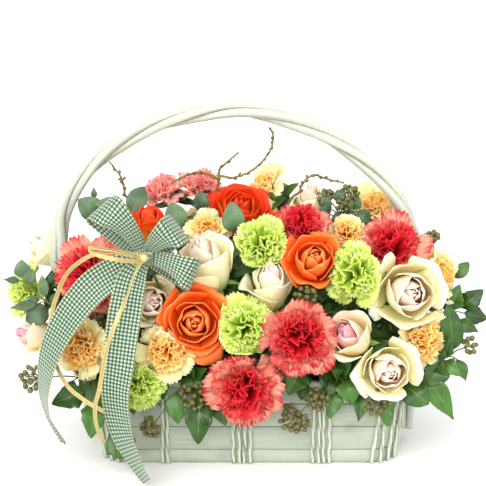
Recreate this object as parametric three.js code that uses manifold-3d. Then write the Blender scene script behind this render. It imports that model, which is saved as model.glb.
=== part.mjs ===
// A long painted basket with a tall twisted willow handle, filled with roses, carnations, ivy,
// eucalyptus and curly willow in wet foam, with a gingham bow on its front left.
// Millimetres, +Z up. The origin is the middle of the basket's underside, and the front is -Y.
import * as THREE from 'three';
import { mergeVertices } from 'three/addons/utils/BufferGeometryUtils.js';
import Module from 'manifold-3d';

// ---- The basket: a flared, round-cornered box of wide chip slats held by willow rods.
const BASE_HALF_LENGTH = 173;
const BASE_HALF_DEPTH = 97;
const RIM_HALF_LENGTH = 185;
const RIM_HALF_DEPTH = 106;
const WALL_HEIGHT = 98;
const CORNER_RADIUS = 36;
const POINTS_PER_CORNER = 3;
const SLAT_THICKNESS = 1.8;
const SLAT_EDGES = [[1.5, 17], [17.8, 46], [46.8, 75], [75.8, 96]];
const FLOOR_THICKNESS = 5;
const ROD_RADIUS = 2.4;
const ROD_SIDES = 4;
const ROD_PITCH = 6.4;
const ROD_GROUPS = [{ middle: -100, rods: 2 }, { middle: -9, rods: 4 }, { middle: 84, rods: 4 }];
const CORNER_RODS = 5;
const END_ROD_PLACES = [-34, 34];
const HOOP_RADIUS = 4;
const HOOP_SIDES = 6;
const HOOP_SEAT = 0.6;
const EYE_WIDTH = 3.2;
const EYE_HALF_HEIGHT = 3;
const EYE_POINTS = 12;
const LINER_THICKNESS = 1.2;
const LINER_TOP = 93;
const GAP = 0.35;
const HOLE_GAP = 0.5;

// ---- The wet foam that holds every stem; it stands a little above the rim.
const FOAM_HALF_LENGTH = 150;
const FOAM_HALF_DEPTH = 78;
const FOAM_CORNER = 22;
const FOAM_TOP = 120;
const FOAM_CORNER_POINTS = 3;

// ---- The handle: three willow strands twisted together and bent into an arch.
const STRAND_RADIUS = 4.6;
const STRAND_CENTRE = 5.7;
const STRAND_STEPS = 36;
const STRAND_SIDES = 5;
const HANDLE_TURNS = 3.4;
const HANDLE_OFFSET = 16;
const HANDLE_FOOT = 14;
const HANDLE_LEG_ABOVE = 30;
const HANDLE_RADIUS = STRAND_CENTRE + STRAND_RADIUS;
const HANDLE_ARCH = [
  [-224, 180], [-231, 217], [-229, 250], [-225, 284], [-204, 323], [-167, 360], [-109, 391],
  [-37, 408], [14, 405], [67, 389], [110, 366], [148, 336], [178, 299], [195, 262], [205, 225],
  [211, 180],
];

// ---- Stems, leaves, berries and ribbons.
const STEM_RADIUS = 2.0;
const STEM_SIDES = 4;
const STEM_STEPS = 2;
const NECK_DEPTH = 3;
const NECK_SHARE = 0.45;
const FOOT_SHARE = { x: 0.5, y: 0.4, z: 0.26 };
const FOOT_TOP = 130;
const TWIG_RADIUS = 1.1;
const STALK_RADIUS = 0.8;
const BLADE_THICKNESS = 0.8;
const BERRY_RADIUS = 3.8;
const BERRY_SIDES = 5;
const STALK_SIDES = 3;
const BLADE_ARCH = 0.14;
const GOLDEN_ANGLE = 2.4;
const RIBBON_WIDTH = 38;
const RIBBON_THICKNESS = 0.8;
const BRAID_WIDTH = 7;
const BRAID_TWIST = 20;
const PICK_RADIUS = 1.5;
const PICK_STEPS = 3;
const PRESS_BAND = 12;
const CLEARANCE = 0.45;
const TRIES = 500;

// How fast each search for room widens, in mm a try.
const STEM_SEARCH = 0.28;
const SPRAY_SEARCH = 0.16;
const LEAF_SEARCH = 0.1;
const BERRY_SEARCH = 0.06;
const TRUNK_SEARCH = 0.2;

const COLOURS = {
  paint: 0xd6e0cd,
  handle: 0xe9ebdd,
  liner: 0x2f3b2a,
  foam: 0x35552f,
  orange: 0xf2571d,
  flame: 0xdc1a08,
  cream: 0xdcd3a8,
  blush: 0xe2b9a6,
  salmon: 0xe2443f,
  lime: 0xb4d44c,
  peach: 0xe7b264,
  ivy: 0x3f6f22,
  eucalyptus: 0x617f51,
  willow: 0x7c7039,
  gingham: 0x7fa88c,
  gold: 0xc9a43c,
  wire: 0x3c5c34,
};

// Where the florist set each head: name, kind, colour, middle, radius and the way that it faces.
// Heads that share a name are one branched stem.
const BLOOMS = [
  ['rose_orange_open', 'rose', 'orange', [-63, -138, 183], 40, [0.0, -1, 0.22]],
  ['rose_orange_cup', 'rose', 'orange', [73, -112, 248], 34, [0.05, -1, 0.55]],
  ['rose_flame_bud', 'bud', 'flame', [-119, -62, 280], 24, [0.1, -0.35, 1]],
  ['rose_flame_open', 'rose', 'flame', [-12, -27, 291], 40, [0.1, -0.75, 0.8]],
  ['rose_cream_tall', 'bud', 'cream', [-48, -105, 240], 40, [-0.35, -0.5, 1]],
  ['rose_cream_shaded', 'rose', 'cream', [-115, -118, 202], 32, [0.3, -1, 0.2]],
  ['rose_cream_closed', 'bud', 'cream', [24, -112, 216], 33, [0.0, -0.45, 1]],
  ['rose_cream_large', 'rose', 'cream', [182, -112, 211], 43, [0.15, -1, 0.25]],
  ['rose_pink_tip', 'bud', 'blush', [116, -140, 165], 34, [-0.45, -0.8, 0.6]],
  ['rose_cream_low', 'rose', 'cream', [157, -142, 127], 35, [0.1, -1, 0.1]],
  ['rose_cream_top', 'bud', 'cream', [75, 5, 289], 28, [-0.1, -0.3, 1]],
  ['rose_cream_left', 'bud', 'cream', [-243, 42, 227], 31, [-0.9, -0.2, 0.5]],
  ['rose_pink_left', 'bud', 'blush', [-251, -64, 148], 26, [-0.9, -0.5, 0.25]],
  ['carnation_salmon_low', 'carnation', 'salmon', [-6, -157, 110], 43, [0, -1, -0.1]],
  ['carnation_salmon_centre', 'carnation', 'salmon', [56, -158, 170], 43, [0.05, -1, 0.05]],
  ['carnation_salmon_upper', 'carnation', 'salmon', [61, -60, 277], 33, [-0.1, -0.8, 0.7]],
  ['carnation_salmon_right', 'carnation', 'salmon', [167, -62, 253], 41, [0.1, -0.8, 0.6]],
  ['carnation_salmon_left', 'carnation', 'salmon', [-189, -86, 226], 42, [-0.35, -0.9, 0.4]],
  ['spray_salmon_top', 'carnation', 'salmon', [-106, 15, 308], 26, [-0.4, -0.3, 1]],
  ['spray_salmon_top', 'carnation', 'salmon', [-60, 25, 312], 29, [0.1, -0.2, 1]],
  ['carnation_lime_upper', 'carnation', 'lime', [14, -100, 265], 31, [0.1, -0.9, 0.5]],
  ['carnation_lime_right', 'carnation', 'lime', [118, -118, 235], 33, [-0.4, -1, 0.2]],
  ['carnation_lime_centre', 'carnation', 'lime', [-5, -145, 178], 34, [0, -1, 0.15]],
  ['carnation_lime_low', 'carnation', 'lime', [-127, -141, 109], 29, [0.1, -1, -0.1]],
  ['carnation_lime_left', 'carnation', 'lime', [-268, -27, 194], 31, [-1, -0.3, 0.2]],
  ['carnation_peach_left', 'carnation', 'peach', [-196, -118, 147], 35, [-0.5, -1, 0.05]],
  ['carnation_peach_front', 'carnation', 'peach', [-97, -140, 148], 32, [-0.1, -1, 0.1]],
  ['carnation_peach_right', 'carnation', 'peach', [202, -112, 155], 33, [0.6, -0.9, 0.1]],
  ['carnation_peach_shoulder', 'carnation', 'peach', [224, -62, 224], 31, [0.8, -0.5, 0.4]],
  ['carnation_peach_top', 'carnation', 'peach', [153, 24, 287], 29, [0.1, -0.5, 0.9]],
  ['carnation_peach_upper', 'carnation', 'peach', [114, -55, 270], 26, [0, -0.9, 0.5]],
  ['carnation_peach_bow', 'carnation', 'peach', [-50, -70, 279], 25, [0, -0.8, 0.6]],
  ['carnation_peach_crest', 'carnation', 'peach', [16, 32, 309], 30, [-0.7, -0.2, 0.6]],
  ['spray_back_left', 'carnation', 'salmon', [-165, 92, 215], 36, [-0.4, 1, 0.4]],
  ['spray_back_left', 'carnation', 'salmon', [-105, 122, 165], 36, [-0.1, 1, 0.2]],
  ['spray_back_left', 'carnation', 'salmon', [-188, 92, 145], 34, [-0.6, 1, 0.1]],
  ['spray_back_centre', 'carnation', 'peach', [-62, 98, 245], 36, [-0.1, 1, 0.6]],
  ['spray_back_centre', 'carnation', 'peach', [-12, 132, 180], 37, [0, 1, 0.2]],
  ['spray_back_centre', 'carnation', 'peach', [42, 100, 248], 36, [0.1, 1, 0.6]],
  ['spray_back_right', 'carnation', 'lime', [130, 92, 222], 35, [0.3, 1, 0.5]],
  ['spray_back_right', 'carnation', 'lime', [76, 124, 160], 35, [0.1, 1, 0.1]],
  ['spray_back_right', 'carnation', 'lime', [178, 92, 150], 35, [0.6, 1, 0.1]],
].map(([name, kind, colour, at, radius, faces]) => ({ name, kind, colour, at, radius, faces }));

// The rings of a head from its heart to its calyx, in head radii. petals is how many lobes a rim
// has, flare how far they reach out, lift how far they rise, and frill how deep its teeth are.
const HEAD_RINGS = {
  rose: [
    { count: 1, reach: 0, height: 0.38 },
    { count: 5, reach: 0.16, height: 0.54 },
    { count: 5, reach: 0.2, height: 0.28 },
    { count: 6, reach: 0.42, height: 0.54, petals: 3, flare: 0.1, lift: 0.05 },
    { count: 6, reach: 0.46, height: 0.2 },
    { count: 8, reach: 0.7, height: 0.44, petals: 4, flare: 0.08, lift: 0.06 },
    { count: 8, reach: 0.7, height: 0.06 },
    { count: 10, reach: 0.95, height: 0.22, petals: 5, flare: 0.08, lift: 0.09 },
    { count: 8, reach: 0.8, height: -0.14 },
    { count: 6, reach: 0.44, height: -0.6 },
    { count: 4, reach: 0.17, height: -0.84 },
  ],
  bud: [
    { count: 1, reach: 0, height: 0.76 },
    { count: 5, reach: 0.13, height: 0.9 },
    { count: 5, reach: 0.17, height: 0.62 },
    { count: 6, reach: 0.38, height: 0.78, petals: 3, flare: 0.12, lift: 0.06 },
    { count: 6, reach: 0.44, height: 0.44 },
    { count: 8, reach: 0.71, height: 0.48, petals: 4, flare: 0.14, lift: 0.1 },
    { count: 8, reach: 0.66, height: 0.02 },
    { count: 6, reach: 0.48, height: -0.5 },
    { count: 4, reach: 0.17, height: -0.84 },
  ],
  carnation: [
    { count: 1, reach: 0, height: 0.32 },
    { count: 6, reach: 0.26, height: 0.58, frill: 0.14 },
    { count: 6, reach: 0.3, height: 0.26 },
    { count: 8, reach: 0.6, height: 0.5, frill: 0.12 },
    { count: 8, reach: 0.54, height: 0.14 },
    { count: 14, reach: 0.93, height: 0.18, frill: 0.1 },
    { count: 8, reach: 0.7, height: -0.1 },
    { count: 5, reach: 0.27, height: -0.42 },
    { count: 4, reach: 0.2, height: -0.84 },
  ],
};

// Half widths of each kind of leaf along its blade, as shares of its half width.
const BLADES = {
  ivy: [[0, 0.14], [0.14, 0.86], [0.34, 1], [0.62, 0.5], [1, 0.05]],
  oval: [[0, 0.12], [0.3, 0.88], [0.68, 0.92], [1, 0.12]],
  lance: [[0, 0.12], [0.4, 1], [1, 0.05]],
};

// Leafy stems: the route of each one out of the foam, with its leaves (where the stalk leaves the
// stem, blade foot, blade tip, width and kind) and its clusters of berries (where the stalk leaves
// the stem, middle, spread and how many).
const TO_FRONT = [0, -1, 0.35];
const TO_BACK = [0, 1, 0.35];
const SPRAYS = [
  {
    name: 'ivy_left', colour: 'ivy', faces: TO_FRONT,
    route: [[-118, -44, 112], [-172, -88, 116], [-197, -108, 109]],
    leaves: [
      [[-190, -104, 110], [-191, -123, 96], [-229, -132, 84], 28, 'ivy'],
      [[-184, -100, 112], [-177, -126, 86], [-182, -140, 45], 22, 'ivy'],
      [[-197, -108, 109], [-205, -112, 106], [-214, -126, 84], 14, 'lance'],
      [[-184, -100, 112], [-163, -130, 50], [-132, -127, 17], 22, 'ivy'],
    ],
    berries: [[[-197, -108, 109], [-254, -100, 105], 13, 6]],
  },
  {
    name: 'ivy_front_left', colour: 'ivy', faces: TO_FRONT,
    route: [[-66, -48, 112], [-72, -100, 114], [-66, -117, 109]],
    leaves: [
      [[-66, -117, 109], [-87, -121, 94], [-83, -132, 60], 25, 'ivy'],
      [[-66, -117, 109], [-58, -124, 92], [-60, -140, 38], 33, 'ivy'],
      [[-66, -117, 109], [-40, -120, 88], [-28, -127, 56], 21, 'ivy'],
    ],
    berries: [
      [[-68, -116, 110], [-64, -134, 95], 13, 5],
      [[-70, -112, 111], [-114, -129, 55], 10, 6],
    ],
  },
  {
    name: 'ivy_front_right', colour: 'ivy', faces: TO_FRONT,
    route: [[76, -48, 112], [98, -98, 114], [106, -116, 110]],
    leaves: [
      [[96, -98, 114], [60, -118, 122], [44, -134, 96], 30, 'ivy'],
      [[104, -112, 111], [100, -120, 96], [92, -132, 66], 20, 'ivy'],
      [[105, -114, 110], [112, -120, 110], [118, -134, 84], 30, 'ivy'],
      [[106, -116, 110], [132, -119, 92], [126, -129, 62], 16, 'lance'],
      [[106, -115, 110], [156, -119, 86], [160, -126, 54], 17, 'ivy'],
    ],
    berries: [
      [[102, -108, 112], [52, -136, 68], 14, 7],
      [[104, -112, 111], [79, -134, 90], 10, 3],
      [[106, -116, 110], [145, -134, 88], 13, 5],
    ],
  },
  {
    name: 'ivy_right', colour: 'ivy', faces: TO_FRONT,
    route: [[124, -40, 112], [178, -84, 116], [214, -94, 124], [232, -95, 130]],
    leaves: [
      [[180, -85, 116], [180, -110, 100], [207, -126, 82], 28, 'ivy'],
      [[192, -90, 119], [206, -106, 110], [238, -116, 60], 20, 'lance'],
      [[226, -95, 128], [228, -100, 126], [206, -112, 100], 27, 'ivy'],
      [[232, -95, 130], [243, -92, 126], [254, -96, 101], 14, 'lance'],
      [[230, -95, 129], [238, -94, 138], [230, -100, 194], 20, 'ivy'],
    ],
    berries: [[[232, -95, 130], [256, -93, 143], 8, 3]],
  },
  {
    name: 'ivy_end_right', colour: 'ivy', faces: TO_FRONT,
    route: [[122, -14, 112], [190, -34, 150], [240, -50, 172]],
    leaves: [
      [[236, -49, 171], [238, -56, 178], [247, -62, 208], 24, 'ivy'],
      [[240, -50, 172], [252, -50, 178], [277, -52, 200], 24, 'ivy'],
      [[240, -50, 172], [256, -46, 170], [284, -44, 163], 22, 'ivy'],
      [[238, -50, 171], [246, -60, 164], [271, -64, 152], 16, 'lance'],
      [[230, -46, 168], [246, -22, 208], [264, -18, 226], 15, 'oval'],
    ],
    berries: [[[226, -45, 166], [219, -18, 256], 7, 4]],
  },
  {
    name: 'ivy_back', colour: 'ivy', faces: TO_BACK,
    route: [[64, 46, 112], [92, 100, 116], [10, 116, 114], [-80, 116, 113], [-176, 98, 112]],
    leaves: [
      [[84, 108, 115], [98, 124, 104], [106, 136, 64], 28, 'ivy'],
      [[40, 114, 114], [38, 128, 100], [30, 140, 58], 26, 'ivy'],
      [[-20, 118, 113], [-26, 130, 98], [-22, 142, 54], 28, 'ivy'],
      [[-80, 116, 113], [-84, 130, 96], [-92, 140, 56], 26, 'ivy'],
      [[-140, 108, 112], [-146, 122, 98], [-158, 134, 60], 26, 'ivy'],
      [[-176, 98, 112], [-196, 108, 106], [-228, 114, 90], 24, 'ivy'],
      [[92, 100, 116], [150, 116, 110], [182, 124, 72], 26, 'ivy'],
      [[-58, 116, 113], [-59, 136, 160], [-62, 146, 206], 24, 'oval'],
      [[-140, 108, 112], [-148, 126, 150], [-138, 138, 196], 24, 'oval'],
      [[88, 104, 116], [88, 122, 198], [92, 108, 240], 26, 'oval'],
    ],
    berries: [],
  },
  {
    name: 'eucalyptus_left', colour: 'eucalyptus', faces: TO_FRONT,
    route: [[-122, -12, 112], [-196, -46, 160], [-236, -64, 186], [-266, -68, 214]],
    leaves: [
      [[-264, -68, 212], [-266, -68, 218], [-267, -72, 241], 18, 'oval'],
      [[-264, -68, 212], [-271, -68, 215], [-289, -70, 217], 8, 'lance'],
      [[-240, -64, 190], [-242, -66, 196], [-243, -66, 219], 11, 'oval'],
      [[-240, -64, 189], [-250, -72, 188], [-282, -76, 184], 11, 'lance'],
      [[-232, -62, 183], [-238, -66, 180], [-264, -74, 168], 24, 'oval'],
    ],
    berries: [[[-200, -48, 162], [-168, -98, 178], 11, 5]],
  },
  {
    name: 'eucalyptus_top', colour: 'eucalyptus', faces: TO_FRONT,
    route: [[-28, -16, 112], [-24, -56, 222], [-16, -76, 262]],
    leaves: [
      [[-16, -76, 262], [-18, -80, 276], [-21, -82, 312], 24, 'oval'],
      [[-17, -74, 258], [-2, -78, 270], [2, -80, 288], 11, 'oval'],
      [[-19, -70, 252], [-34, -96, 256], [-40, -98, 276], 15, 'lance'],
      [[-24, -52, 216], [-82, -56, 276], [-93, -44, 304], 23, 'oval'],
      [[-24, -50, 212], [-58, -46, 296], [-56, -48, 318], 18, 'oval'],
    ],
    berries: [],
  },
  {
    name: 'eucalyptus_left_top', colour: 'eucalyptus', faces: TO_FRONT,
    route: [[-96, -8, 112], [-140, -22, 230], [-158, -28, 284]],
    leaves: [
      [[-158, -28, 284], [-178, -24, 284], [-204, -24, 304], 26, 'oval'],
      [[-158, -28, 284], [-150, -32, 300], [-187, -40, 302], 15, 'lance'],
      [[-156, -27, 280], [-138, -26, 296], [-128, -10, 312], 14, 'lance'],
      [[-158, -28, 284], [-186, -12, 304], [-186, -14, 317], 7, 'lance'],
    ],
    berries: [],
  },
  {
    name: 'eucalyptus_right', colour: 'eucalyptus', faces: TO_FRONT,
    route: [[92, -8, 112], [100, -14, 230], [108, -16, 284]],
    leaves: [
      [[108, -16, 284], [94, -22, 292], [87, -24, 309], 12, 'oval'],
      [[108, -16, 284], [107, -14, 300], [105, -14, 314], 12, 'oval'],
      [[108, -16, 284], [124, -12, 290], [130, -12, 306], 14, 'oval'],
      [[108, -16, 282], [130, -16, 288], [143, -22, 276], 15, 'oval'],
    ],
    berries: [
      [[108, -16, 284], [94, -12, 312], 7, 3],
      [[108, -16, 282], [119, -8, 318], 7, 3],
    ],
  },
];

// The curly willow: one forked branch whose three shoots show above the flowers.
const WILLOW_FOOT = [6, 8, 112];
const WILLOW_FORK = [-30, 10, 232];
const WILLOW_SHOOTS = [
  [
    WILLOW_FORK, [-110, -8, 262], [-144, -12, 298], [-151, -16, 321], [-154, -16, 331],
    [-167, -14, 348],
  ],
  [
    WILLOW_FORK, [-36, 6, 276], [-37, -8, 326], [-22, -12, 328], [-4, -10, 333], [14, -8, 346],
    [25, -6, 362], [28, -6, 378], [23, -6, 388],
  ],
  [[-37, -8, 326], [-36, -10, 338], [-28, -12, 346], [-13, -12, 359]],
  [[-37, -8, 326], [-56, -12, 334], [-72, -14, 333], [-94, -16, 322]],
  [
    WILLOW_FORK, [32, -10, 262], [48, -30, 304], [58, -32, 314], [64, -30, 326], [76, -26, 334],
    [92, -20, 328], [113, -14, 322],
  ],
];
const BUD_SPACING = 22;
const BUD_SWELL = 1.7;
const BARE_SHARE = 0.9;
const WILLOW_SHOWS = 320;
const WILLOW_BAND = 30;

// The bow: knot, three loops and two long tails of ribbon, on a wooden pick.
const KNOT = [-118, -156, 264];
const KNOT_RADIUS = 9;
const BALL_SIDES = 8;
const PICK_FOOT = [-66, -46, 108];
// Each loop swings from one direction to another, in degrees above the right, as it goes out to its
// reach and back; it bulges forward going out and backward coming home.
const LOOPS = [
  { from: 112, to: 150, reach: 74, bulge: 15 },
  { from: 66, to: 28, reach: 58, bulge: 15 },
  { from: -22, to: -62, reach: 60, bulge: 14 },
];
// Each tail: its middle line, its turn about that line in degrees, and its width along it.
const TAILS = [
  {
    points: [
      [-118, -158, 264], [-146, -162, 250], [-178, -160, 228], [-214, -160, 190],
      [-239, -160, 149], [-246, -154, 107], [-238, -146, 72], [-217, -143, 40],
    ],
    turn: [0, 0, 0, 10, 25, 45, 68, 82],
    width: [14, 36, 38, 38, 38, 38, 38, 24],
  },
  {
    points: [
      [-118, -158, 264], [-132, -166, 240], [-141, -172, 203], [-152, -180, 147],
      [-156, -180, 106], [-148, -178, 64], [-130, -182, 24], [-116, -190, 13],
    ],
    turn: [0, 0, 0, 0, 0, 25, 45, 55],
    width: [14, 34, 38, 38, 38, 38, 38, 36],
  },
];
const GATHERED_WIDTH = 13;
const LOOP_FULLNESS = 0.7;
const GATHER_SHARE = 0.3;
const LOOP_STEPS = 10;
const TAIL_STEPS = 11;
const TIE = [-118, -172, 266];
const TIE_RADIUS = 5.5;
const BRAIDS = [
  [
    [-118, -172, 266], [-136, -185, 272], [-158, -186, 275], [-180, -178, 268], [-205, -158, 245],
    [-219, -148, 215], [-226, -146, 190], [-226, -148, 165], [-221, -152, 138], [-208, -154, 112],
    [-186, -154, 93], [-160, -154, 76], [-150, -150, 52], [-152, -148, 34],
  ],
  [
    [-118, -172, 266], [-128, -178, 250], [-137, -184, 224], [-150, -190, 194], [-160, -192, 165],
    [-178, -192, 122], [-184, -184, 98], [-180, -164, 62], [-174, -154, 38],
  ],
  [
    [-118, -172, 267], [-134, -188, 280], [-150, -194, 281], [-144, -187, 269],
    [-118, -171, 260],
  ],
];

// ------------------------------------------------------------------ geometry helpers

const solids = await Module();
solids.setup();
const { Manifold, Mesh } = solids;

const vector = ([x, y, z]) => new THREE.Vector3(x, y, z);

// Draws the same run of numbers from 0 to 1 each time for one seed.
function drawFrom(seed) {
  let state = seed;
  return () => {
    state = (state * 1664525 + 1013904223) % 4294967296;
    return state / 4294967296;
  };
}

function geometryFrom(points, faces) {
  const geometry = new THREE.BufferGeometry();
  const flat = points.flatMap((point) => [point.x, point.y, point.z]);
  geometry.setAttribute('position', new THREE.Float32BufferAttribute(flat, 3));
  geometry.setIndex(faces);
  return geometry;
}

// A closed skin over rings of points that run from one end to the other, anticlockwise seen from
// the first end. Rings may differ in count; a ring of one point is a tip.
function skin(rings) {
  const points = rings.flat();
  const faces = [];
  let start = 0;
  for (let k = 0; k + 1 < rings.length; k += 1) {
    const upper = rings[k].length;
    const lower = rings[k + 1].length;
    const next = start + upper;
    const upperSteps = upper === 1 ? 0 : upper;
    const lowerSteps = lower === 1 ? 0 : lower;
    let i = 0;
    let j = 0;
    while (i < upperSteps || j < lowerSteps) {
      const stepUpper = j >= lowerSteps
        || (i < upperSteps && (i + 1) / upperSteps <= (j + 1) / lowerSteps);
      const a = start + (i % upper);
      const b = next + (j % lower);
      if (stepUpper) {
        faces.push(a, b, start + ((i + 1) % upper));
        i += 1;
      } else {
        faces.push(a, b, next + ((j + 1) % lower));
        j += 1;
      }
    }
    start = next;
  }
  return geometryFrom(points, faces);
}

// A closed skin round a loop: each section lists the same number of points, outside one first.
function loopSkin(sections) {
  const size = sections[0].length;
  const faces = [];
  sections.forEach((_, i) => {
    const here = i * size;
    const there = ((i + 1) % sections.length) * size;
    for (let j = 0; j < size; j += 1) {
      const k = (j + 1) % size;
      faces.push(here + j, there + j, there + k, here + j, there + k, here + k);
    }
  });
  return geometryFrom(sections.flat(), faces);
}

function solidFrom(geometry) {
  const welded = mergeVertices(geometry, 1e-4);
  const solid = new Manifold(new Mesh({
    numProp: 3,
    vertProperties: new Float32Array(welded.attributes.position.array),
    triVerts: new Uint32Array(welded.index.array),
  }));
  if (solid.volume() <= 0) throw new Error('a skin is inside out');
  return solid;
}

function geometryOf(solid) {
  const { numProp, vertProperties, triVerts } = solid.getMesh();
  const geometry = new THREE.BufferGeometry();
  const points = new Float32Array((vertProperties.length / numProp) * 3);
  for (let i = 0; i < points.length / 3; i += 1) {
    for (let axis = 0; axis < 3; axis += 1) points[i * 3 + axis] = vertProperties[i * numProp + axis];
  }
  geometry.setAttribute('position', new THREE.BufferAttribute(points, 3));
  geometry.setIndex([...triVerts]);
  return geometry;
}

// The biggest body of a solid, with loose scraps dropped.
function mainBody(solid) {
  return solid.decompose().sort((a, b) => b.volume() - a.volume())[0];
}

function boxesMeet(a, b) {
  return [0, 1, 2].every((axis) => a.min[axis] < b.max[axis] && b.min[axis] < a.max[axis]);
}

function isClear(solid, obstacles) {
  const box = solid.boundingBox();
  return obstacles.every((other) => !boxesMeet(box, other.boundingBox())
    || solid.intersect(other).isEmpty());
}

function tangentAt(points, i) {
  const before = points[Math.max(i - 1, 0)];
  const after = points[Math.min(i + 1, points.length - 1)];
  return after.clone().sub(before).normalize();
}

// Rings of a round tube along points. side is where each ring starts, carried along untwisted.
function tubeRings(points, radii, sides, firstSide) {
  let side = firstSide.clone();
  return points.map((point, i) => {
    const along = tangentAt(points, i);
    side.addScaledVector(along, -side.dot(along)).normalize();
    const other = along.clone().negate().cross(side);
    return Array.from({ length: sides }, (_, k) => {
      const angle = (2 * Math.PI * k) / sides;
      return point.clone()
        .addScaledVector(side, radii[i] * Math.cos(angle))
        .addScaledVector(other, radii[i] * Math.sin(angle));
    });
  });
}

function crossTo(along) {
  const level = new THREE.Vector3(0, 0, 1).cross(along);
  return level.length() > 0.1 ? level.normalize() : new THREE.Vector3(1, 0, 0);
}

// A closed tube with flat ends. radius is one number, or one for each point.
function tube(points, radius, sides) {
  const radii = points.map((_, i) => (Array.isArray(radius) ? radius[i] : radius));
  const rings = tubeRings(points, radii, sides, crossTo(tangentAt(points, 0)));
  return solidFrom(skin([[points[0].clone()], ...rings, [points.at(-1).clone()]]));
}

function curveThrough(points, steps) {
  return new THREE.CatmullRomCurve3(points, false, 'centripetal').getPoints(steps);
}

// ------------------------------------------------------------------ the basket

// Half sizes of the outside of the wall at a height, moved out by an offset.
function wallAt(z, offset) {
  const share = z / WALL_HEIGHT;
  return {
    length: BASE_HALF_LENGTH + (RIM_HALF_LENGTH - BASE_HALF_LENGTH) * share + offset,
    depth: BASE_HALF_DEPTH + (RIM_HALF_DEPTH - BASE_HALF_DEPTH) * share + offset,
    corner: CORNER_RADIUS + offset,
  };
}

// Points of a round-cornered rectangle at a height, anticlockwise seen from above.
function roundedLoop({ length, depth, corner }, z, perCorner = POINTS_PER_CORNER) {
  const middles = [[1, 1], [-1, 1], [-1, -1], [1, -1]];
  return middles.flatMap(([sx, sy], quarter) => Array.from({ length: perCorner }, (_, k) => {
    const angle = (Math.PI / 2) * (quarter + k / (perCorner - 1));
    return new THREE.Vector3(
      sx * (length - corner) + corner * Math.cos(angle),
      sy * (depth - corner) + corner * Math.sin(angle),
      z,
    );
  }));
}

const wallLoop = (z, offset) => roundedLoop(wallAt(z, offset), z);
const centreAt = (z) => [new THREE.Vector3(0, 0, z)];

function slat([bottom, top]) {
  const outerLow = wallLoop(bottom, 0);
  const outerHigh = wallLoop(top, 0);
  const innerHigh = wallLoop(top, -SLAT_THICKNESS);
  const innerLow = wallLoop(bottom, -SLAT_THICKNESS);
  const sections = outerLow.map((point, i) => [point, outerHigh[i], innerHigh[i], innerLow[i]]);
  return solidFrom(loopSkin(sections));
}

function basketFloor() {
  const inset = -SLAT_THICKNESS - GAP;
  return solidFrom(skin([
    centreAt(FLOOR_THICKNESS), wallLoop(FLOOR_THICKNESS, inset), wallLoop(0, inset), centreAt(0),
  ]));
}

// An upright rod outside the wall with level ends, from its foot at z 0 to its head in the hoop.
function uprightRod(foot, head) {
  const rings = [head, foot].map((middle) => Array.from({ length: ROD_SIDES }, (_, k) => {
    const angle = (2 * Math.PI * k) / ROD_SIDES;
    const side = new THREE.Vector3(Math.cos(angle), Math.sin(angle), 0);
    return side.multiplyScalar(ROD_RADIUS).add(middle);
  }));
  return solidFrom(skin([[head], ...rings, [foot]]));
}

const HOOP_HEIGHT = SLAT_EDGES.at(-1)[1] + GAP + HOOP_RADIUS;

// The rim hoop with every upright rod, and an eye at each end that holds the handle's leg.
function basketFrame() {
  const draw = drawFrom(5);
  const offset = GAP + ROD_RADIUS;
  const low = wallAt(0, offset);
  const high = wallAt(HOOP_HEIGHT, offset);
  const rods = [];
  const addRod = (foot, head) => {
    rods.push(uprightRod(vector([...foot, 0]), vector([...head, HOOP_HEIGHT])));
  };
  const lean = () => (draw() - 0.5) * ROD_RADIUS;
  for (const face of [-1, 1]) {
    for (const { middle, rods: count } of ROD_GROUPS) {
      for (let k = 0; k < count; k += 1) {
        const x = middle + (k - (count - 1) / 2) * ROD_PITCH;
        addRod([x + lean(), face * low.depth], [x + lean(), face * high.depth]);
      }
    }
    for (const y of END_ROD_PLACES) {
      addRod([face * low.length, y + lean()], [face * high.length, y + lean()]);
    }
    for (const end of [-1, 1]) {
      for (let k = 0; k < CORNER_RODS; k += 1) {
        const angle = (Math.PI / 2) * ((k + 0.5) / CORNER_RODS) + lean() * 0.02;
        const place = (wall) => [
          end * (wall.length - wall.corner + wall.corner * Math.cos(angle)),
          face * (wall.depth - wall.corner + wall.corner * Math.sin(angle)),
        ];
        addRod(place(low), place(high));
      }
    }
  }
  const inner = wallLoop(HOOP_HEIGHT, -SLAT_THICKNESS);
  const outer = wallLoop(HOOP_HEIGHT, offset);
  const sections = inner.map((point, i) => {
    const out = outer[i].clone().sub(point).normalize();
    const middle = outer[i].clone().addScaledVector(out, -HOOP_RADIUS * HOOP_SEAT);
    return Array.from({ length: HOOP_SIDES }, (_, k) => {
      const angle = (2 * Math.PI * k) / HOOP_SIDES;
      return middle.clone().addScaledVector(out, HOOP_RADIUS * Math.cos(angle))
        .add(new THREE.Vector3(0, 0, HOOP_RADIUS * Math.sin(angle)));
    });
  });
  const eyes = [-1, 1].map((end) => handleEye(end));
  return mainBody(Manifold.union([solidFrom(loopSkin(sections)), ...eyes, ...rods]));
}

// The eye is a flat round loop of willow bound to the hoop.
function handleEye(end) {
  const inside = HANDLE_RADIUS + 2 * GAP;
  const outside = inside + EYE_WIDTH;
  const high = EYE_HALF_HEIGHT;
  const middle = new THREE.Vector3(end * wallAt(HOOP_HEIGHT, HANDLE_OFFSET).length, 0, HOOP_HEIGHT);
  const sections = Array.from({ length: EYE_POINTS }, (_, i) => {
    const angle = (2 * Math.PI * i) / EYE_POINTS;
    const out = new THREE.Vector3(Math.cos(angle), Math.sin(angle), 0);
    return [[outside, -high], [outside, high], [inside, high], [inside, -high]].map(([reach, up]) => (
      middle.clone().addScaledVector(out, reach).add(new THREE.Vector3(0, 0, up))));
  });
  return solidFrom(loopSkin(sections));
}

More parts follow.
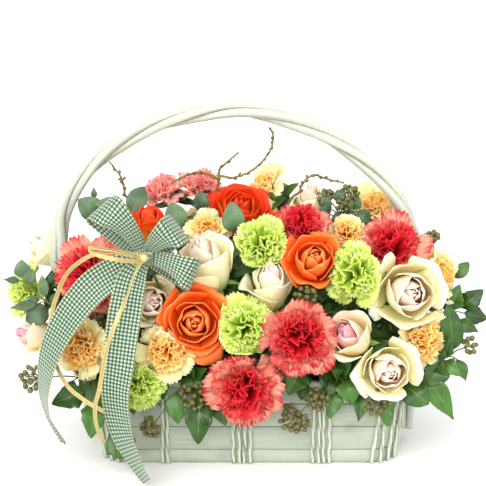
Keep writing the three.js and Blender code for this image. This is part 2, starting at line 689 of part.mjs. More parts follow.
// A thin plastic tub inside the slats that keeps the water in.
function liner() {
  const outside = -SLAT_THICKNESS - GAP;
  const inside = outside - LINER_THICKNESS;
  const bottom = FLOOR_THICKNESS + GAP;
  const floor = bottom + LINER_THICKNESS;
  return solidFrom(skin([
    centreAt(floor), wallLoop(floor, inside), wallLoop(LINER_TOP, inside),
    wallLoop(LINER_TOP, outside), wallLoop(bottom, outside), centreAt(bottom),
  ]));
}

function foamBlock() {
  const size = { length: FOAM_HALF_LENGTH, depth: FOAM_HALF_DEPTH, corner: FOAM_CORNER };
  const bottom = FLOOR_THICKNESS + LINER_THICKNESS + 2 * GAP;
  return solidFrom(skin([
    centreAt(FOAM_TOP), roundedLoop(size, FOAM_TOP, FOAM_CORNER_POINTS),
    roundedLoop(size, bottom, FOAM_CORNER_POINTS), centreAt(bottom),
  ]));
}

// ------------------------------------------------------------------ the handle

function handlePath() {
  const heights = [HANDLE_FOOT, WALL_HEIGHT, WALL_HEIGHT + HANDLE_LEG_ABOVE];
  const legs = [-1, 1].map((end) => heights.map((z) => (
    new THREE.Vector3(end * wallAt(z, HANDLE_OFFSET).length, 0, z))));
  const arch = HANDLE_ARCH.map(([x, z]) => new THREE.Vector3(x, 0, z));
  const points = [...legs[0], ...arch, ...legs[1].reverse()];
  return new THREE.CatmullRomCurve3(points, false, 'centripetal');
}

// One strand of the handle: it winds round the arch, a third of a turn from the next.
function handleStrand(strand) {
  const path = handlePath();
  const level = new THREE.Vector3(0, 1, 0);
  const points = Array.from({ length: STRAND_STEPS + 1 }, (_, i) => {
    const share = i / STRAND_STEPS;
    const along = path.getTangentAt(share);
    const out = level.clone().cross(along).normalize();
    const angle = 2 * Math.PI * (HANDLE_TURNS * share + strand / 3);
    return path.getPointAt(share)
      .addScaledVector(level, STRAND_CENTRE * Math.cos(angle))
      .addScaledVector(out, STRAND_CENTRE * Math.sin(angle));
  });
  return tube(points, STRAND_RADIUS, STRAND_SIDES);
}

// ------------------------------------------------------------------ flowers

// Walls between a head and its neighbours: each splits the space by the two radii.
function wallsOf(bloom, others) {
  const here = vector(bloom.at);
  return others.flatMap((other) => {
    const out = vector(other.at).sub(here);
    const distance = out.length();
    if (other === bloom || distance > bloom.radius + other.radius + 2) return [];
    const share = (distance ** 2 + bloom.radius ** 2 - other.radius ** 2) / (2 * distance);
    const normal = out.divideScalar(distance);
    return [{ normal, offset: normal.dot(here) + share }];
  });
}

// Petals that meet a wall are pressed flat against it, evenly, so that none crosses another.
function pressed(point, walls) {
  const moved = point.clone();
  for (let pass = 0; pass < 2; pass += 1) {
    for (const { normal, offset } of walls) {
      const room = offset - normal.dot(moved);
      if (room < PRESS_BAND) {
        const band = PRESS_BAND - GAP;
        moved.addScaledVector(normal, room - GAP - band * Math.exp((room - PRESS_BAND) / band));
      }
    }
  }
  return moved;
}

function headRings(bloom, walls, draw) {
  const facing = vector(bloom.faces).normalize();
  const turn = new THREE.Quaternion().setFromUnitVectors(new THREE.Vector3(0, 0, 1), facing);
  const roll = draw() * 2 * Math.PI;
  const middle = vector(bloom.at);
  return HEAD_RINGS[bloom.kind].map((ring) => Array.from({ length: ring.count }, (_, k) => {
    const angle = (2 * Math.PI * k) / ring.count;
    const lobe = ring.petals ? Math.cos(ring.petals * angle) : 0;
    const tooth = ring.frill ? ring.frill * (k % 2 ? 1 : -1) * (0.6 + 0.6 * draw()) : 0;
    const reach = ring.reach * (1 + (ring.flare ?? 0) * lobe + tooth);
    const height = ring.height + (ring.lift ?? 0) * lobe + tooth * 0.8;
    const point = new THREE.Vector3(
      reach * Math.cos(angle + roll), reach * Math.sin(angle + roll), height,
    ).multiplyScalar(bloom.radius).applyQuaternion(turn).add(middle);
    return pressed(point, walls);
  }));
}

// Where a bloom's stem ends in the foam: in towards the middle, and lower for a higher bloom.
function stemFoot([x, y, z]) {
  return new THREE.Vector3(FOOT_SHARE.x * x, FOOT_SHARE.y * y, FOOT_TOP - FOOT_SHARE.z * z);
}

// A shift each way by up to half of a step.
function drawnShift(draw, step) {
  return new THREE.Vector3(draw() - 0.5, draw() - 0.5, draw() - 0.5).multiplyScalar(step);
}

// A route for a stem from start to end that is clear of everything built so far. The middle is
// moved by growing seeded steps until it is.
function findRoute(start, lead, end, radius, obstacles, draw, what) {
  for (let attempt = 0; attempt < TRIES; attempt += 1) {
    const step = attempt * STEM_SEARCH;
    const middle = lead.clone().lerp(end, 0.5).add(drawnShift(draw, step));
    const foot = end.clone().add(drawnShift(draw, step * 0.4));
    const route = curveThrough([start, lead, middle, foot], STEM_STEPS);
    if (isClear(tube(route, radius + CLEARANCE, STEM_SIDES), obstacles)) return route;
  }
  throw new Error(`no clear route for ${what}`);
}

function growBlooms(obstacles) {
  const draw = drawFrom(11);
  const heads = BLOOMS.map((bloom) => {
    const walls = wallsOf(bloom, BLOOMS);
    const rings = headRings(bloom, walls, draw);
    const calyx = rings.at(-1);
    const sum = calyx.reduce((total, point) => total.add(point), new THREE.Vector3());
    const middle = sum.divideScalar(calyx.length);
    return { bloom, rings, middle, solid: solidFrom(skin([...rings, [middle.clone()]])) };
  });
  const stems = [];
  const blooms = heads.map((head) => {
    const { bloom, rings, middle } = head;
    const facing = vector(bloom.faces).normalize();
    const otherHeads = heads.filter((other) => other !== head).map((other) => other.solid);
    const foreignStems = stems.filter((stem) => stem.name !== bloom.name).map((stem) => stem.solid);
    const start = middle.clone().addScaledVector(facing, -NECK_DEPTH);
    const lead = middle.clone().addScaledVector(facing, -NECK_SHARE * bloom.radius);
    const group = BLOOMS.filter((other) => other.name === bloom.name);
    const foot = stemFoot(group[0].at);
    const around = [...obstacles, ...otherHeads, ...foreignStems];
    const route = findRoute(start, lead, foot, STEM_RADIUS, around, draw, bloom.name);
    const side = rings.at(-1)[0].clone().sub(middle).normalize();
    const stemRings = (extra) => (
      tubeRings(route, route.map(() => STEM_RADIUS + extra), STEM_SIDES, side));
    const ends = [[route[0].clone()], [route.at(-1).clone()]];
    stems.push({
      name: bloom.name,
      solid: solidFrom(skin([ends[0], ...stemRings(0), ends[1]])),
      hole: solidFrom(skin([ends[0], ...stemRings(HOLE_GAP), ends[1]])),
    });
    const solid = solidFrom(skin([...rings, ...stemRings(0), ends[1]]));
    return { name: bloom.name, colour: bloom.colour, solid };
  });
  return { blooms, stems };
}

// ------------------------------------------------------------------ leaves, berries and twigs

// A leaf with its stalk: a thin body of even thickness whose width follows its kind's outline. It
// arches away from the straight line between its foot and its tip.
function leaf(attach, foot, tip, width, kind, faces, thickness) {
  const bulge = foot.clone().lerp(tip, 0.5).addScaledVector(faces, width * BLADE_ARCH);
  const line = new THREE.CatmullRomCurve3([attach, foot, bulge, tip], false, 'centripetal');
  const stalkShare = Math.min(foot.distanceTo(attach) / line.getLength(), 0.9);
  const stations = [[0, 2 * STALK_RADIUS], ...BLADES[kind].map(([share, part]) => [
    stalkShare + (1 - stalkShare) * share, Math.max(part * width, 2 * STALK_RADIUS)])];
  const shares = stations.map(([share]) => Math.min(share, 1));
  const points = shares.map((share) => line.getPointAt(share));
  const across = shares.map((share) => line.getTangentAt(share).cross(faces));
  return strip(points, across, stations.map(([, wide]) => wide), thickness);
}

// A berry on its stalk, as one closed skin from the berry's tip to the stalk's root.
function berry(root, middle, radius) {
  const along = root.clone().sub(middle).normalize();
  const at = (share) => middle.clone().addScaledVector(along, radius * share);
  const side = crossTo(along);
  const [widest] = tubeRings([at(-0.1), at(1)], [radius, radius], BERRY_SIDES, side);
  const stalk = tubeRings([at(0.95), root], [STALK_RADIUS, STALK_RADIUS], STALK_SIDES, side);
  return solidFrom(skin([[at(-1)], widest, ...stalk, [root.clone()]]));
}

// Berries spread evenly round the front of a cluster's middle, by the golden angle.
function berryPlaces(root, middle, spread, count) {
  const out = middle.clone().sub(root).normalize();
  const turn = new THREE.Quaternion().setFromUnitVectors(new THREE.Vector3(0, 0, 1), out);
  return Array.from({ length: count }, (_, k) => {
    const height = 1 - (1.5 * (k + 0.5)) / count;
    const reach = Math.sqrt(Math.max(1 - height * height, 0));
    const angle = k * GOLDEN_ANGLE;
    return new THREE.Vector3(reach * Math.cos(angle), reach * Math.sin(angle), height)
      .multiplyScalar(spread).applyQuaternion(turn).add(middle);
  });
}

// The smallest of a run of growing seeded shifts at which a piece is clear, or null.
function clearShift(build, obstacles, draw, growth) {
  for (let attempt = 0; attempt < TRIES; attempt += 1) {
    const shift = drawnShift(draw, attempt * growth);
    if (isClear(build(shift, CLEARANCE), obstacles)) return shift;
  }
  return null;
}

// The shift at which a piece is clear of its neighbours.
function roomFor(what, build, obstacles, draw, growth) {
  const shift = clearShift(build, obstacles, draw, growth);
  if (!shift) throw new Error(`no room for ${what}`);
  return shift;
}

// The piece, moved to where it is clear of its neighbours.
function settle(what, build, obstacles, draw, growth) {
  return build(roomFor(what, build, obstacles, draw, growth), 0);
}

function growSpray(spray, obstacles, foam, draw) {
  const start = vector(spray.route[0]);
  const bends = spray.route.slice(1).map(vector);
  const routeAt = (shift) => curveThrough([
    start.clone().addScaledVector(shift, 0.6), ...bends.map((bend) => bend.clone().add(shift))], 4);
  const buildStem = (shift, extra) => tube(routeAt(shift), TWIG_RADIUS + extra, 4);
  const stemShift = roomFor(spray.name, buildStem, obstacles, draw, SPRAY_SEARCH);
  const parts = [buildStem(stemShift, 0)];
  const route = routeAt(stemShift);
  const line = new THREE.CatmullRomCurve3(route, false, 'centripetal').getPoints(60);
  const nearest = (point) => line.reduce((best, other) => (
    other.distanceTo(point) < best.distanceTo(point) ? other : best));
  const outward = new THREE.Vector3(...spray.faces);
  const around = [...obstacles, foam];
  for (const [attach, foot, tip, width, kind] of spray.leaves) {
    const root = nearest(vector(attach));
    const build = (shift, extra) => leaf(
      root, vector(foot).addScaledVector(shift, 0.6), vector(tip).add(shift), width + extra, kind,
      outward.clone().addScaledVector(shift, 0.04).normalize(), BLADE_THICKNESS + 2 * extra,
    );
    parts.push(settle(`a leaf of ${spray.name}`, build, around, draw, LEAF_SEARCH));
  }
  for (const [attach, place, spread, count] of spray.berries) {
    const root = nearest(vector(attach));
    const middle = vector(place);
    const hub = middle.clone().lerp(root, spread / root.distanceTo(middle));
    const end = middle.clone().lerp(hub, 0.2);
    const buildStalk = (shift, extra) => {
      const bend = root.clone().lerp(hub, 0.5).add(shift);
      return tube([root, bend, hub, end], STALK_RADIUS + extra, STALK_SIDES);
    };
    parts.push(settle(`a berry stalk of ${spray.name}`, buildStalk, around, draw, LEAF_SEARCH));
    for (const [k, spot] of berryPlaces(root, middle, spread, count).entries()) {
      const joint = end.clone().lerp(hub, (k + 0.3) / count);
      const buildBerry = (shift, extra) => (
        berry(joint, spot.clone().addScaledVector(shift, 0.6), BERRY_RADIUS + extra));
      parts.push(settle(`a berry of ${spray.name}`, buildBerry, around, draw, BERRY_SEARCH));
    }
  }
  return { solid: mainBody(Manifold.union(parts)), hole: buildStem(stemShift, HOLE_GAP) };
}

// One forked branch of curly willow. Its tubes swell at the buds; only what the flowers hide is
// moved to find room.
function growWillow(obstacles, draw) {
  const hidden = (point) => THREE.MathUtils.clamp((WILLOW_SHOWS - point.z) / WILLOW_BAND, 0, 1);
  const buildShoot = (points) => (shift, extra) => {
    const moved = points.map((point, i) => (
      point.clone().addScaledVector(shift, i === 0 ? 0 : hidden(point))));
    const curve = new THREE.CatmullRomCurve3(moved, false, 'centripetal');
    const count = Math.round(curve.getLength() / BUD_SPACING) * 2;
    const radii = Array.from({ length: count + 1 }, (_, i) => (
      TWIG_RADIUS * (i % 2 && i > 2 ? BUD_SWELL : BARE_SHARE) + extra));
    return tube(curve.getSpacedPoints(count), radii, 4);
  };
  const foot = vector(WILLOW_FOOT);
  const fork = vector(WILLOW_FORK);
  const buildTrunk = (shift, extra) => {
    const points = [0, 0.5, 1].map((share) => (
      foot.clone().lerp(fork, share).addScaledVector(shift, 0.5 + 0.5 * share)));
    return tube(curveThrough(points, 4), TWIG_RADIUS * 1.4 + extra, STEM_SIDES);
  };
  const trunkShift = roomFor('the willow branch', buildTrunk, obstacles, draw, TRUNK_SEARCH);
  const parts = [buildTrunk(trunkShift, 0)];
  for (const shoot of WILLOW_SHOOTS) {
    const points = shoot.map(vector);
    if (shoot[0] === WILLOW_FORK) points[0].add(trunkShift);
    parts.push(settle('a willow shoot', buildShoot(points), obstacles, draw, SPRAY_SEARCH));
  }
  return { solid: mainBody(Manifold.union(parts)), hole: buildTrunk(trunkShift, HOLE_GAP) };
}

// ------------------------------------------------------------------ the ribbons

// A flat ribbon along points. across gives the way of its width at each point. Each step's front
// and back are split along the same diagonal, so the ribbon keeps its thickness where it twists.
function strip(points, across, widths, thickness) {
  const corners = points.flatMap((point, i) => {
    const along = tangentAt(points, i);
    const side = across[i].clone().addScaledVector(along, -across[i].dot(along)).normalize();
    const up = along.clone().negate().cross(side);
    const corner = (a, b) => point.clone()
      .addScaledVector(side, (a * widths[i]) / 2).addScaledVector(up, (b * thickness) / 2);
    return [corner(1, 1), corner(-1, 1), corner(-1, -1), corner(1, -1)];
  });
  const faces = [0, 1, 2, 0, 2, 3];
  for (let p = 0; p + 4 < corners.length; p += 4) {
    const q = p + 4;
    faces.push(p, q, p + 1, p + 1, q, q + 1);
    faces.push(p + 1, q + 1, p + 2, p + 2, q + 1, q + 2);
    faces.push(p + 2, q + 2, q + 3, p + 2, q + 3, p + 3);
    faces.push(p + 3, q + 3, p, p, q + 3, q);
  }
  const end = corners.length - 4;
  faces.push(end, end + 2, end + 1, end, end + 3, end + 2);
  return solidFrom(geometryFrom(corners, faces));
}

// Values read evenly along a short list, at count steps.
function spreadOut(values, count) {
  return Array.from({ length: count + 1 }, (_, i) => {
    const place = (i / count) * (values.length - 1);
    const low = Math.min(Math.floor(place), values.length - 2);
    return values[low] + (values[low + 1] - values[low]) * (place - low);
  });
}

// Ways across a hanging ribbon that faces the front, turned about its own length by an angle.
function hangingAcross(points, turns) {
  return points.map((_, i) => {
    const along = tangentAt(points, i);
    const level = along.clone().cross(new THREE.Vector3(0, 1, 0)).normalize();
    return level.applyAxisAngle(along, THREE.MathUtils.degToRad(turns[i]));
  });
}

function bowLoop({ from, to, reach, bulge }) {
  const shares = Array.from({ length: LOOP_STEPS + 1 }, (_, i) => i / LOOP_STEPS);
  const turn = (share) => THREE.MathUtils.degToRad(THREE.MathUtils.lerp(from, to, share));
  const path = shares.map((share) => {
    const out = reach * Math.sin(Math.PI * share) ** LOOP_FULLNESS;
    const forward = -bulge * Math.sin(2 * Math.PI * share);
    return new THREE.Vector3(out * Math.cos(turn(share)), forward, out * Math.sin(turn(share)))
      .add(vector(KNOT));
  });
  const across = shares.map((share) => (
    new THREE.Vector3(Math.sin(turn(share)), 0, -Math.cos(turn(share)))));
  const widths = shares.map((share) => {
    const open = Math.min(1, Math.min(share, 1 - share) / GATHER_SHARE);
    return THREE.MathUtils.lerp(GATHERED_WIDTH, RIBBON_WIDTH, open);
  });
  return strip(path, across, widths, RIBBON_THICKNESS);
}

function bow() {
  const loops = LOOPS.map(bowLoop);
  const tails = TAILS.map(({ points, turn, width }) => {
    const path = new THREE.CatmullRomCurve3(points.map(vector)).getPoints(TAIL_STEPS);
    const across = hangingAcross(path, spreadOut(turn, TAIL_STEPS));
    return strip(path, across, spreadOut(width, TAIL_STEPS), RIBBON_THICKNESS);
  });
  const knot = ball(vector(KNOT), KNOT_RADIUS);
  return mainBody(Manifold.union([knot, ...loops, ...tails]));
}

// A round ball of a few flat faces: the pulled-up knot of a ribbon.
function ball(middle, radius) {
  const rings = [-0.7, 0, 0.7].map((height) => Array.from({ length: BALL_SIDES }, (_, k) => {
    const angle = (2 * Math.PI * k) / BALL_SIDES;
    const reach = Math.sqrt(1 - height * height);
    return new THREE.Vector3(reach * Math.cos(angle), reach * Math.sin(angle), -height)
      .multiplyScalar(radius).add(middle);
  }));
  const pole = (sign) => [middle.clone().add(new THREE.Vector3(0, 0, sign * radius))];
  return solidFrom(skin([pole(1), ...rings, pole(-1)]));
}

function braid() {
  const parts = BRAIDS.map((points) => {
    const count = points.length + 1;
    const path = new THREE.CatmullRomCurve3(points.map(vector)).getPoints(count);
    const turns = path.map((_, i) => BRAID_TWIST * Math.sin(i));
    return strip(path, hangingAcross(path, turns), path.map(() => BRAID_WIDTH), RIBBON_THICKNESS);
  });
  return mainBody(Manifold.union([ball(vector(TIE), TIE_RADIUS), ...parts]));
}

// The pick runs from close behind the knot down into the foam.
function buildPick(shift, extra) {
  const head = vector(KNOT).add(new THREE.Vector3(0, KNOT_RADIUS + 2 * GAP, 0));
  const foot = vector(PICK_FOOT);
  const middle = head.clone().lerp(foot, 0.5).add(shift);
  return tube(curveThrough([head, middle, foot], PICK_STEPS), PICK_RADIUS + extra, STEM_SIDES);
}

// ------------------------------------------------------------------ putting it together

const arrangement = new THREE.Group();

function add(name, solid, colour, roughness = 0.6, metalness = 0) {
  const material = new THREE.MeshStandardMaterial({ color: COLOURS[colour], roughness, metalness });
  const mesh = new THREE.Mesh(geometryOf(solid), material);
  mesh.name = name;
  arrangement.add(mesh);
}

const slats = SLAT_EDGES.map(slat);
const frame = basketFrame();
const tub = liner();
const strands = [0, 1, 2].map(handleStrand);
const ribbon = bow();
const goldBraid = braid();
const fixed = [...slats, frame, tub, ...strands, ribbon, goldBraid];

const { blooms, stems } = growBlooms(fixed);
const names = [...new Set(blooms.map((bloom) => bloom.name))];
const flowers = names.map((name) => {
  const own = blooms.filter((bloom) => bloom.name === name);
  return { name, colour: own[0].colour, solid: Manifold.union(own.map((bloom) => bloom.solid)) };
});
const placed = [...fixed, ...flowers.map((flower) => flower.solid)];
const holes = stems.map((stem) => stem.hole);
const foam = foamBlock();
const growth = drawFrom(7);

const pickShift = roomFor('the bow pick', buildPick, placed, growth, SPRAY_SEARCH);
const pick = buildPick(pickShift, 0);
placed.push(pick);
holes.push(buildPick(pickShift, HOLE_GAP));

const sprays = SPRAYS.map((spray) => {
  const { solid, hole } = growSpray(spray, placed, foam, growth);
  placed.push(solid);
  holes.push(hole);
  return { ...spray, solid };
});
const willow = growWillow(placed, growth);
holes.push(willow.hole);

add('basket_floor', basketFloor(), 'paint', 0.7);
slats.forEach((solid, i) => add(`basket_slat_${i + 1}`, solid, 'paint', 0.55));
add('basket_frame', frame, 'paint', 0.6);
add('water_liner', tub, 'liner', 0.4);
add('flower_foam', mainBody(foam.subtract(Manifold.union(holes))), 'foam', 0.95);
strands.forEach((solid, i) => add(`handle_strand_${i + 1}`, solid, 'handle', 0.6));
add('bow_ribbon', ribbon, 'gingham', 0.45);
add('bow_gold_braid', goldBraid, 'gold', 0.35, 0.8);
add('bow_pick', pick, 'wire', 0.7);
flowers.forEach(({ name, solid, colour }) => add(name, solid, colour, 0.55));
sprays.forEach(({ name, solid, colour }) => add(name, solid, colour, 0.5));
add('willow_twigs', willow.solid, 'willow', 0.8);

export default arrangement;
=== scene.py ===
import math

import bpy
import numpy as np
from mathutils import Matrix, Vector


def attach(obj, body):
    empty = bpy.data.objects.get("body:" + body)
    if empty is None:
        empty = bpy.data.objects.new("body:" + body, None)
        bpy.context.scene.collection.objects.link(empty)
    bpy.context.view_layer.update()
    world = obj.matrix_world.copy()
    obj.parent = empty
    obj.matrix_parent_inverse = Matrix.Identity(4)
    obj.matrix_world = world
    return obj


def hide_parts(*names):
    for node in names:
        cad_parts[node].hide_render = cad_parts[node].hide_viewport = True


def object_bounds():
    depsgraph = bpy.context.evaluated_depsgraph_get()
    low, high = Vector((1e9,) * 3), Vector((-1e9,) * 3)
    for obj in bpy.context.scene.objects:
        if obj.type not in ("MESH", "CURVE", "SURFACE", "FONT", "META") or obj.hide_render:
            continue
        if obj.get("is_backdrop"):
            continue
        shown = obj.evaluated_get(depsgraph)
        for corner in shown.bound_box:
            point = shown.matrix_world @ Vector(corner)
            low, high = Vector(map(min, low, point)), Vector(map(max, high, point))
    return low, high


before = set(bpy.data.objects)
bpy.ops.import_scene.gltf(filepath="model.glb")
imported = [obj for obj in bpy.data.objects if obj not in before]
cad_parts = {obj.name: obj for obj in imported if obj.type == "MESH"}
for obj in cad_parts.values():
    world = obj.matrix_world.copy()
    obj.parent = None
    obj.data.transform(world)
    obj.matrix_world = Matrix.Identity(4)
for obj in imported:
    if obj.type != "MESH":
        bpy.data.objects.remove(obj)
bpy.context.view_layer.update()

# ---- Camera: the photograph was taken from in front and a little above, with a long lens from
# about two metres, so the basket's long side is square to the view.
VIEW_DISTANCE = 2.1
VIEW_ANGLE = math.radians(12)
VIEW_TARGET = (-0.008, 0.0, 0.246)
LENS_MM = 128.5
SENSOR_MM = 36

camera_data = bpy.data.cameras.new("front_camera")
camera_data.lens = LENS_MM
camera_data.sensor_width = SENSOR_MM
camera = bpy.data.objects.new("front_camera", camera_data)
x, y, z = VIEW_TARGET
camera.location = (x, y - VIEW_DISTANCE * math.cos(VIEW_ANGLE), z + VIEW_DISTANCE * math.sin(VIEW_ANGLE))
camera.rotation_euler = (math.pi / 2 - VIEW_ANGLE, 0, 0)
bpy.context.scene.collection.objects.link(camera)
bpy.context.scene.camera = camera

# ---- The basket's slats: four wide bands of chip wood bent round the corners, brushed with one thin
# coat of pale green-white paint, which sinks into the grain. They are stapled to the rods.
MM = 0.001
BASE_HALF_LENGTH = 173
BASE_HALF_DEPTH = 97
RIM_HALF_LENGTH = 185
RIM_HALF_DEPTH = 106
WALL_HEIGHT = 98
CORNER_RADIUS = 36
CORNER_POINTS = 14
SLAT_THICKNESS = 1.8
SLAT_ROUNDING = 0.5
SLAT_WAVE = 0.25
# The heights of each slat's lower and upper edges.
SLAT_EDGES = [(1.5, 17), (17.8, 46), (46.8, 75), (75.8, 96)]


def linear(sheet_colour):
    """An sRGB hex colour as linear red, green, blue and 1."""
    parts = np.array([int(sheet_colour[i:i + 2], 16) for i in (1, 3, 5)]) / 255
    parts = np.where(parts <= 0.04045, parts / 12.92, ((parts + 0.055) / 1.055) ** 2.4)
    return (*parts.tolist(), 1.0)


def feed(socket, value):
    """Sets a socket to a value, or joins it to another socket or to a node's first one."""
    if isinstance(value, bpy.types.Node):
        value = value.outputs[0]
    if isinstance(value, bpy.types.NodeSocket):
        socket.id_data.links.new(value, socket)
    else:
        socket.default_value = value


def add(tree, kind, inputs=None, **settings):
    """Adds one node with its settings. inputs says what feeds each of its sockets."""
    made = tree.nodes.new("ShaderNode" + kind)
    for key, value in settings.items():
        setattr(made, key, value)
    for key, value in (inputs or {}).items():
        feed(made.inputs[key], value)
    return made


def new_finish(name, **shader):
    """A material with its shader's own sockets set. Gives the material, its tree and its shader."""
    finish = bpy.data.materials.new(name)
    finish.use_nodes = True
    surface = finish.node_tree.nodes["Principled BSDF"]
    for key, value in shader.items():
        feed(surface.inputs[key.replace("_", " ")], value)
    return finish, finish.node_tree, surface


def ramp(tree, fac, stops):
    """A smooth run of colours: stops is a list of (place, hex colour)."""
    made = add(tree, "ValToRGB", {"Fac": fac})
    band = made.color_ramp
    band.elements[0].position, band.elements[0].color = stops[0][0], linear(stops[0][1])
    band.elements[1].position, band.elements[1].color = stops[-1][0], linear(stops[-1][1])
    for place, shade in stops[1:-1]:
        band.elements.new(place).color = linear(shade)
    return made


def colour(surface, fac, stops):
    """Gives the shader a base colour that runs through the stops."""
    feed(surface.inputs["Base Color"], ramp(surface.id_data, fac, stops))


def relief(surface, height, depth_mm, strength=0.5):
    """Joins a height to the shader's normal through a bump of a real depth."""
    bump = add(surface.id_data, "Bump", {"Height": height, "Distance": depth_mm * MM, "Strength": strength})
    feed(surface.inputs["Normal"], bump)


def speckle(tree, per_metre, detail=3.0, **more):
    """Soft noise that stays with the piece: so many blotches to a metre, each with finer ones in it."""
    place = add(tree, "TexCoord").outputs["Object"]
    return add(tree, "TexNoise", {"Vector": place, "Scale": per_metre, "Detail": detail, **more})


def flat_place(tree, scale=(1, 1, 1), turn=0.0):
    """The piece's own flat map, turned and scaled."""
    flat_map = add(tree, "UVMap", uv_map="flat")
    return add(tree, "Mapping", {"Vector": flat_map, "Rotation": (0, 0, turn), "Scale": scale})


def put(name, layers, finishes, node):
    """One object from layers, which stands for a node. A layer has points in millimetres, faces (arrays
    of corner numbers, one for each count of corners), and as it needs them marks (four values a point),
    a flat map (uv) and the number of its finish."""
    points, corners, sizes, kinds, marks, uvs = [], [], [], [], [], []
    start = 0
    for layer in layers:
        count = len(layer["points"])
        points.append(layer["points"])
        marks.append(layer.get("marks", np.zeros((count, 4))))
        uvs.append(layer.get("uv", np.zeros((count, 2))))
        for faces in layer["faces"]:
            corners.append((faces + start).ravel())
            sizes.append(np.full(len(faces), faces.shape[1]))
            kinds.append(np.full(len(faces), layer.get("finish", 0)))
        start += count
    corners, sizes = np.concatenate(corners), np.concatenate(sizes)
    mesh = bpy.data.meshes.new(name)
    mesh.vertices.add(start)
    mesh.vertices.foreach_set("co", (np.concatenate(points) * MM).ravel())
    mesh.loops.add(len(corners))
    mesh.loops.foreach_set("vertex_index", corners.astype(np.int32))
    mesh.polygons.add(len(sizes))
    mesh.polygons.foreach_set("loop_start", (np.cumsum(sizes) - sizes).astype(np.int32))
    mesh.polygons.foreach_set("material_index", np.concatenate(kinds).astype(np.int32))
    mesh.polygons.foreach_set("use_smooth", np.ones(len(sizes), bool))
    mark = mesh.attributes.new("marks", "FLOAT_COLOR", "POINT")
    mark.data.foreach_set("color", np.concatenate(marks).astype(np.float32).ravel())
    sheet = mesh.uv_layers.new(name="flat")
    sheet.data.foreach_set("uv", np.concatenate(uvs)[corners].astype(np.float32).ravel())
    for finish in finishes:
        mesh.materials.append(finish)
    mesh.update(calc_edges=True)
    piece = bpy.data.objects.new(name, mesh)
    bpy.context.scene.collection.objects.link(piece)
    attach(piece, "root")
    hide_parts(node)
    return piece


def wall_sizes(height, offset):
    """Half length, half depth and corner radius of the wall at a height, moved out by an offset. The
    half sizes grow evenly from the base to the rim."""
    share = height / WALL_HEIGHT
    return (
        BASE_HALF_LENGTH + (RIM_HALF_LENGTH - BASE_HALF_LENGTH) * share + offset,
        BASE_HALF_DEPTH + (RIM_HALF_DEPTH - BASE_HALF_DEPTH) * share + offset,
        CORNER_RADIUS + offset,
    )


def wall_loop(height, offset, count=CORNER_POINTS):
    """Points round the wall at a height: four quarter circles joined by straight sides."""
    length, depth, corner = wall_sizes(height, offset)
    arcs = []
    for quarter, (sx, sy) in enumerate([(1, 1), (-1, 1), (-1, -1), (1, -1)]):
        turn = np.linspace(0, math.pi / 2, count) + quarter * math.pi / 2
        x = sx * (length - corner) + corner * np.cos(turn)
        y = sy * (depth - corner) + corner * np.sin(turn)
        arcs.append(np.stack([x, y, np.full(count, height)], axis=1))
    return np.concatenate(arcs)


def run_along(path):
    """How far along a path each of its points is."""
    return np.concatenate([[0], np.cumsum(np.linalg.norm(np.diff(path, axis=0), axis=1))])


def ring_faces(rings, size, closed):
    """Four-sided faces between rings of one size, and from the last to the first where closed."""
    here = np.arange(rings if closed else rings - 1)[:, None]
    side = np.arange(size)[None, :]
    near, far = here * size, ((here + 1) % rings) * size
    return np.stack(
        [near + side, far + side, far + (side + 1) % size, near + (side + 1) % size], axis=-1,
    ).reshape(-1, 4)


def slat(low, high, lean):
    """A band round the basket: a thin upright section with rounded edges carried round the wall, which
    rises and falls a little three times on the way."""
    outer, inner = -SLAT_ROUNDING, SLAT_ROUNDING - SLAT_THICKNESS
    near, far = low + SLAT_ROUNDING, high - SLAT_ROUNDING
    section = [
        (low, outer), (near, 0), (far, 0), (high, outer),
        (high, inner), (far, -SLAT_THICKNESS), (near, -SLAT_THICKNESS), (low, inner),
    ]
    loops = np.stack([wall_loop(height, offset) for height, offset in section], axis=1)
    count = len(loops)
    wave = np.sin(np.linspace(0, 2 * math.pi, count, endpoint=False) * 3 + lean)
    loops[:, :, 2] += SLAT_WAVE * wave[:, None]
    run = run_along(loops[:, 1])
    uv = np.stack([np.repeat(run[:, None], len(section), 1), loops[:, :, 2]], axis=-1)
    faces = [ring_faces(count, len(section), True)]
    return {"points": loops.reshape(-1, 3), "uv": uv.reshape(-1, 2), "faces": faces}


# Matt emulsion on chip wood: the grain runs along the band about 1.2 mm apart and shows as fine
# ridges, with the wood's tan in the deepest pores and at knocks.
painted_chip, tree, surface = new_finish("painted_chip_wood", Roughness=0.62, IOR=1.45)
grain = add(tree, "TexNoise", {
    "Vector": flat_place(tree, (0.012, 0.8, 1)), "Scale": 1.0, "Detail": 6.0, "Roughness": 0.62})
mixed = add(tree, "Math", {0: grain, 1: speckle(tree, 26.0, 4.0)}, operation="MULTIPLY")
colour(surface, mixed, [(0.08, "#786f55"), (0.14, "#959c8b"), (0.24, "#a6ae9d"), (0.42, "#afb7a7")])
relief(surface, grain, 0.5, 0.7)

for number, (low, high) in enumerate(SLAT_EDGES, start=1):
    band = slat(low, high, number)
    put(f"chip_slat_{number}", [band], [painted_chip], f"basket_slat_{number}")

# ---- The basket's frame: thin willow rods stand in groups outside the slats, with a hoop round the
# rim and an eye at each end for the handle. All are soaked, bent, bound and painted with the slats.
GAP = 0.35
ROD_RADIUS = 2.3
ROD_PITCH = 6.4
ROD_FOOT = 0.6
# For each group of rods on the long sides: its middle and how many stand in it.
ROD_GROUPS = [(-100, 2), (-9, 4), (84, 4)]
CORNER_RODS = 5
END_ROD_PLACES = [-34, 34]
HOOP_RADIUS = 4
HANDLE_OFFSET = 16
EYE_RADIUS = 12.6
EYE_WIRE_RADIUS = 1.7
ROD_LEAN = 1.2
ROD_BOW = 0.45
ROD_STEPS = 30
TUBE_END_SHARE = 0.02
HOOP_TURNS = 20


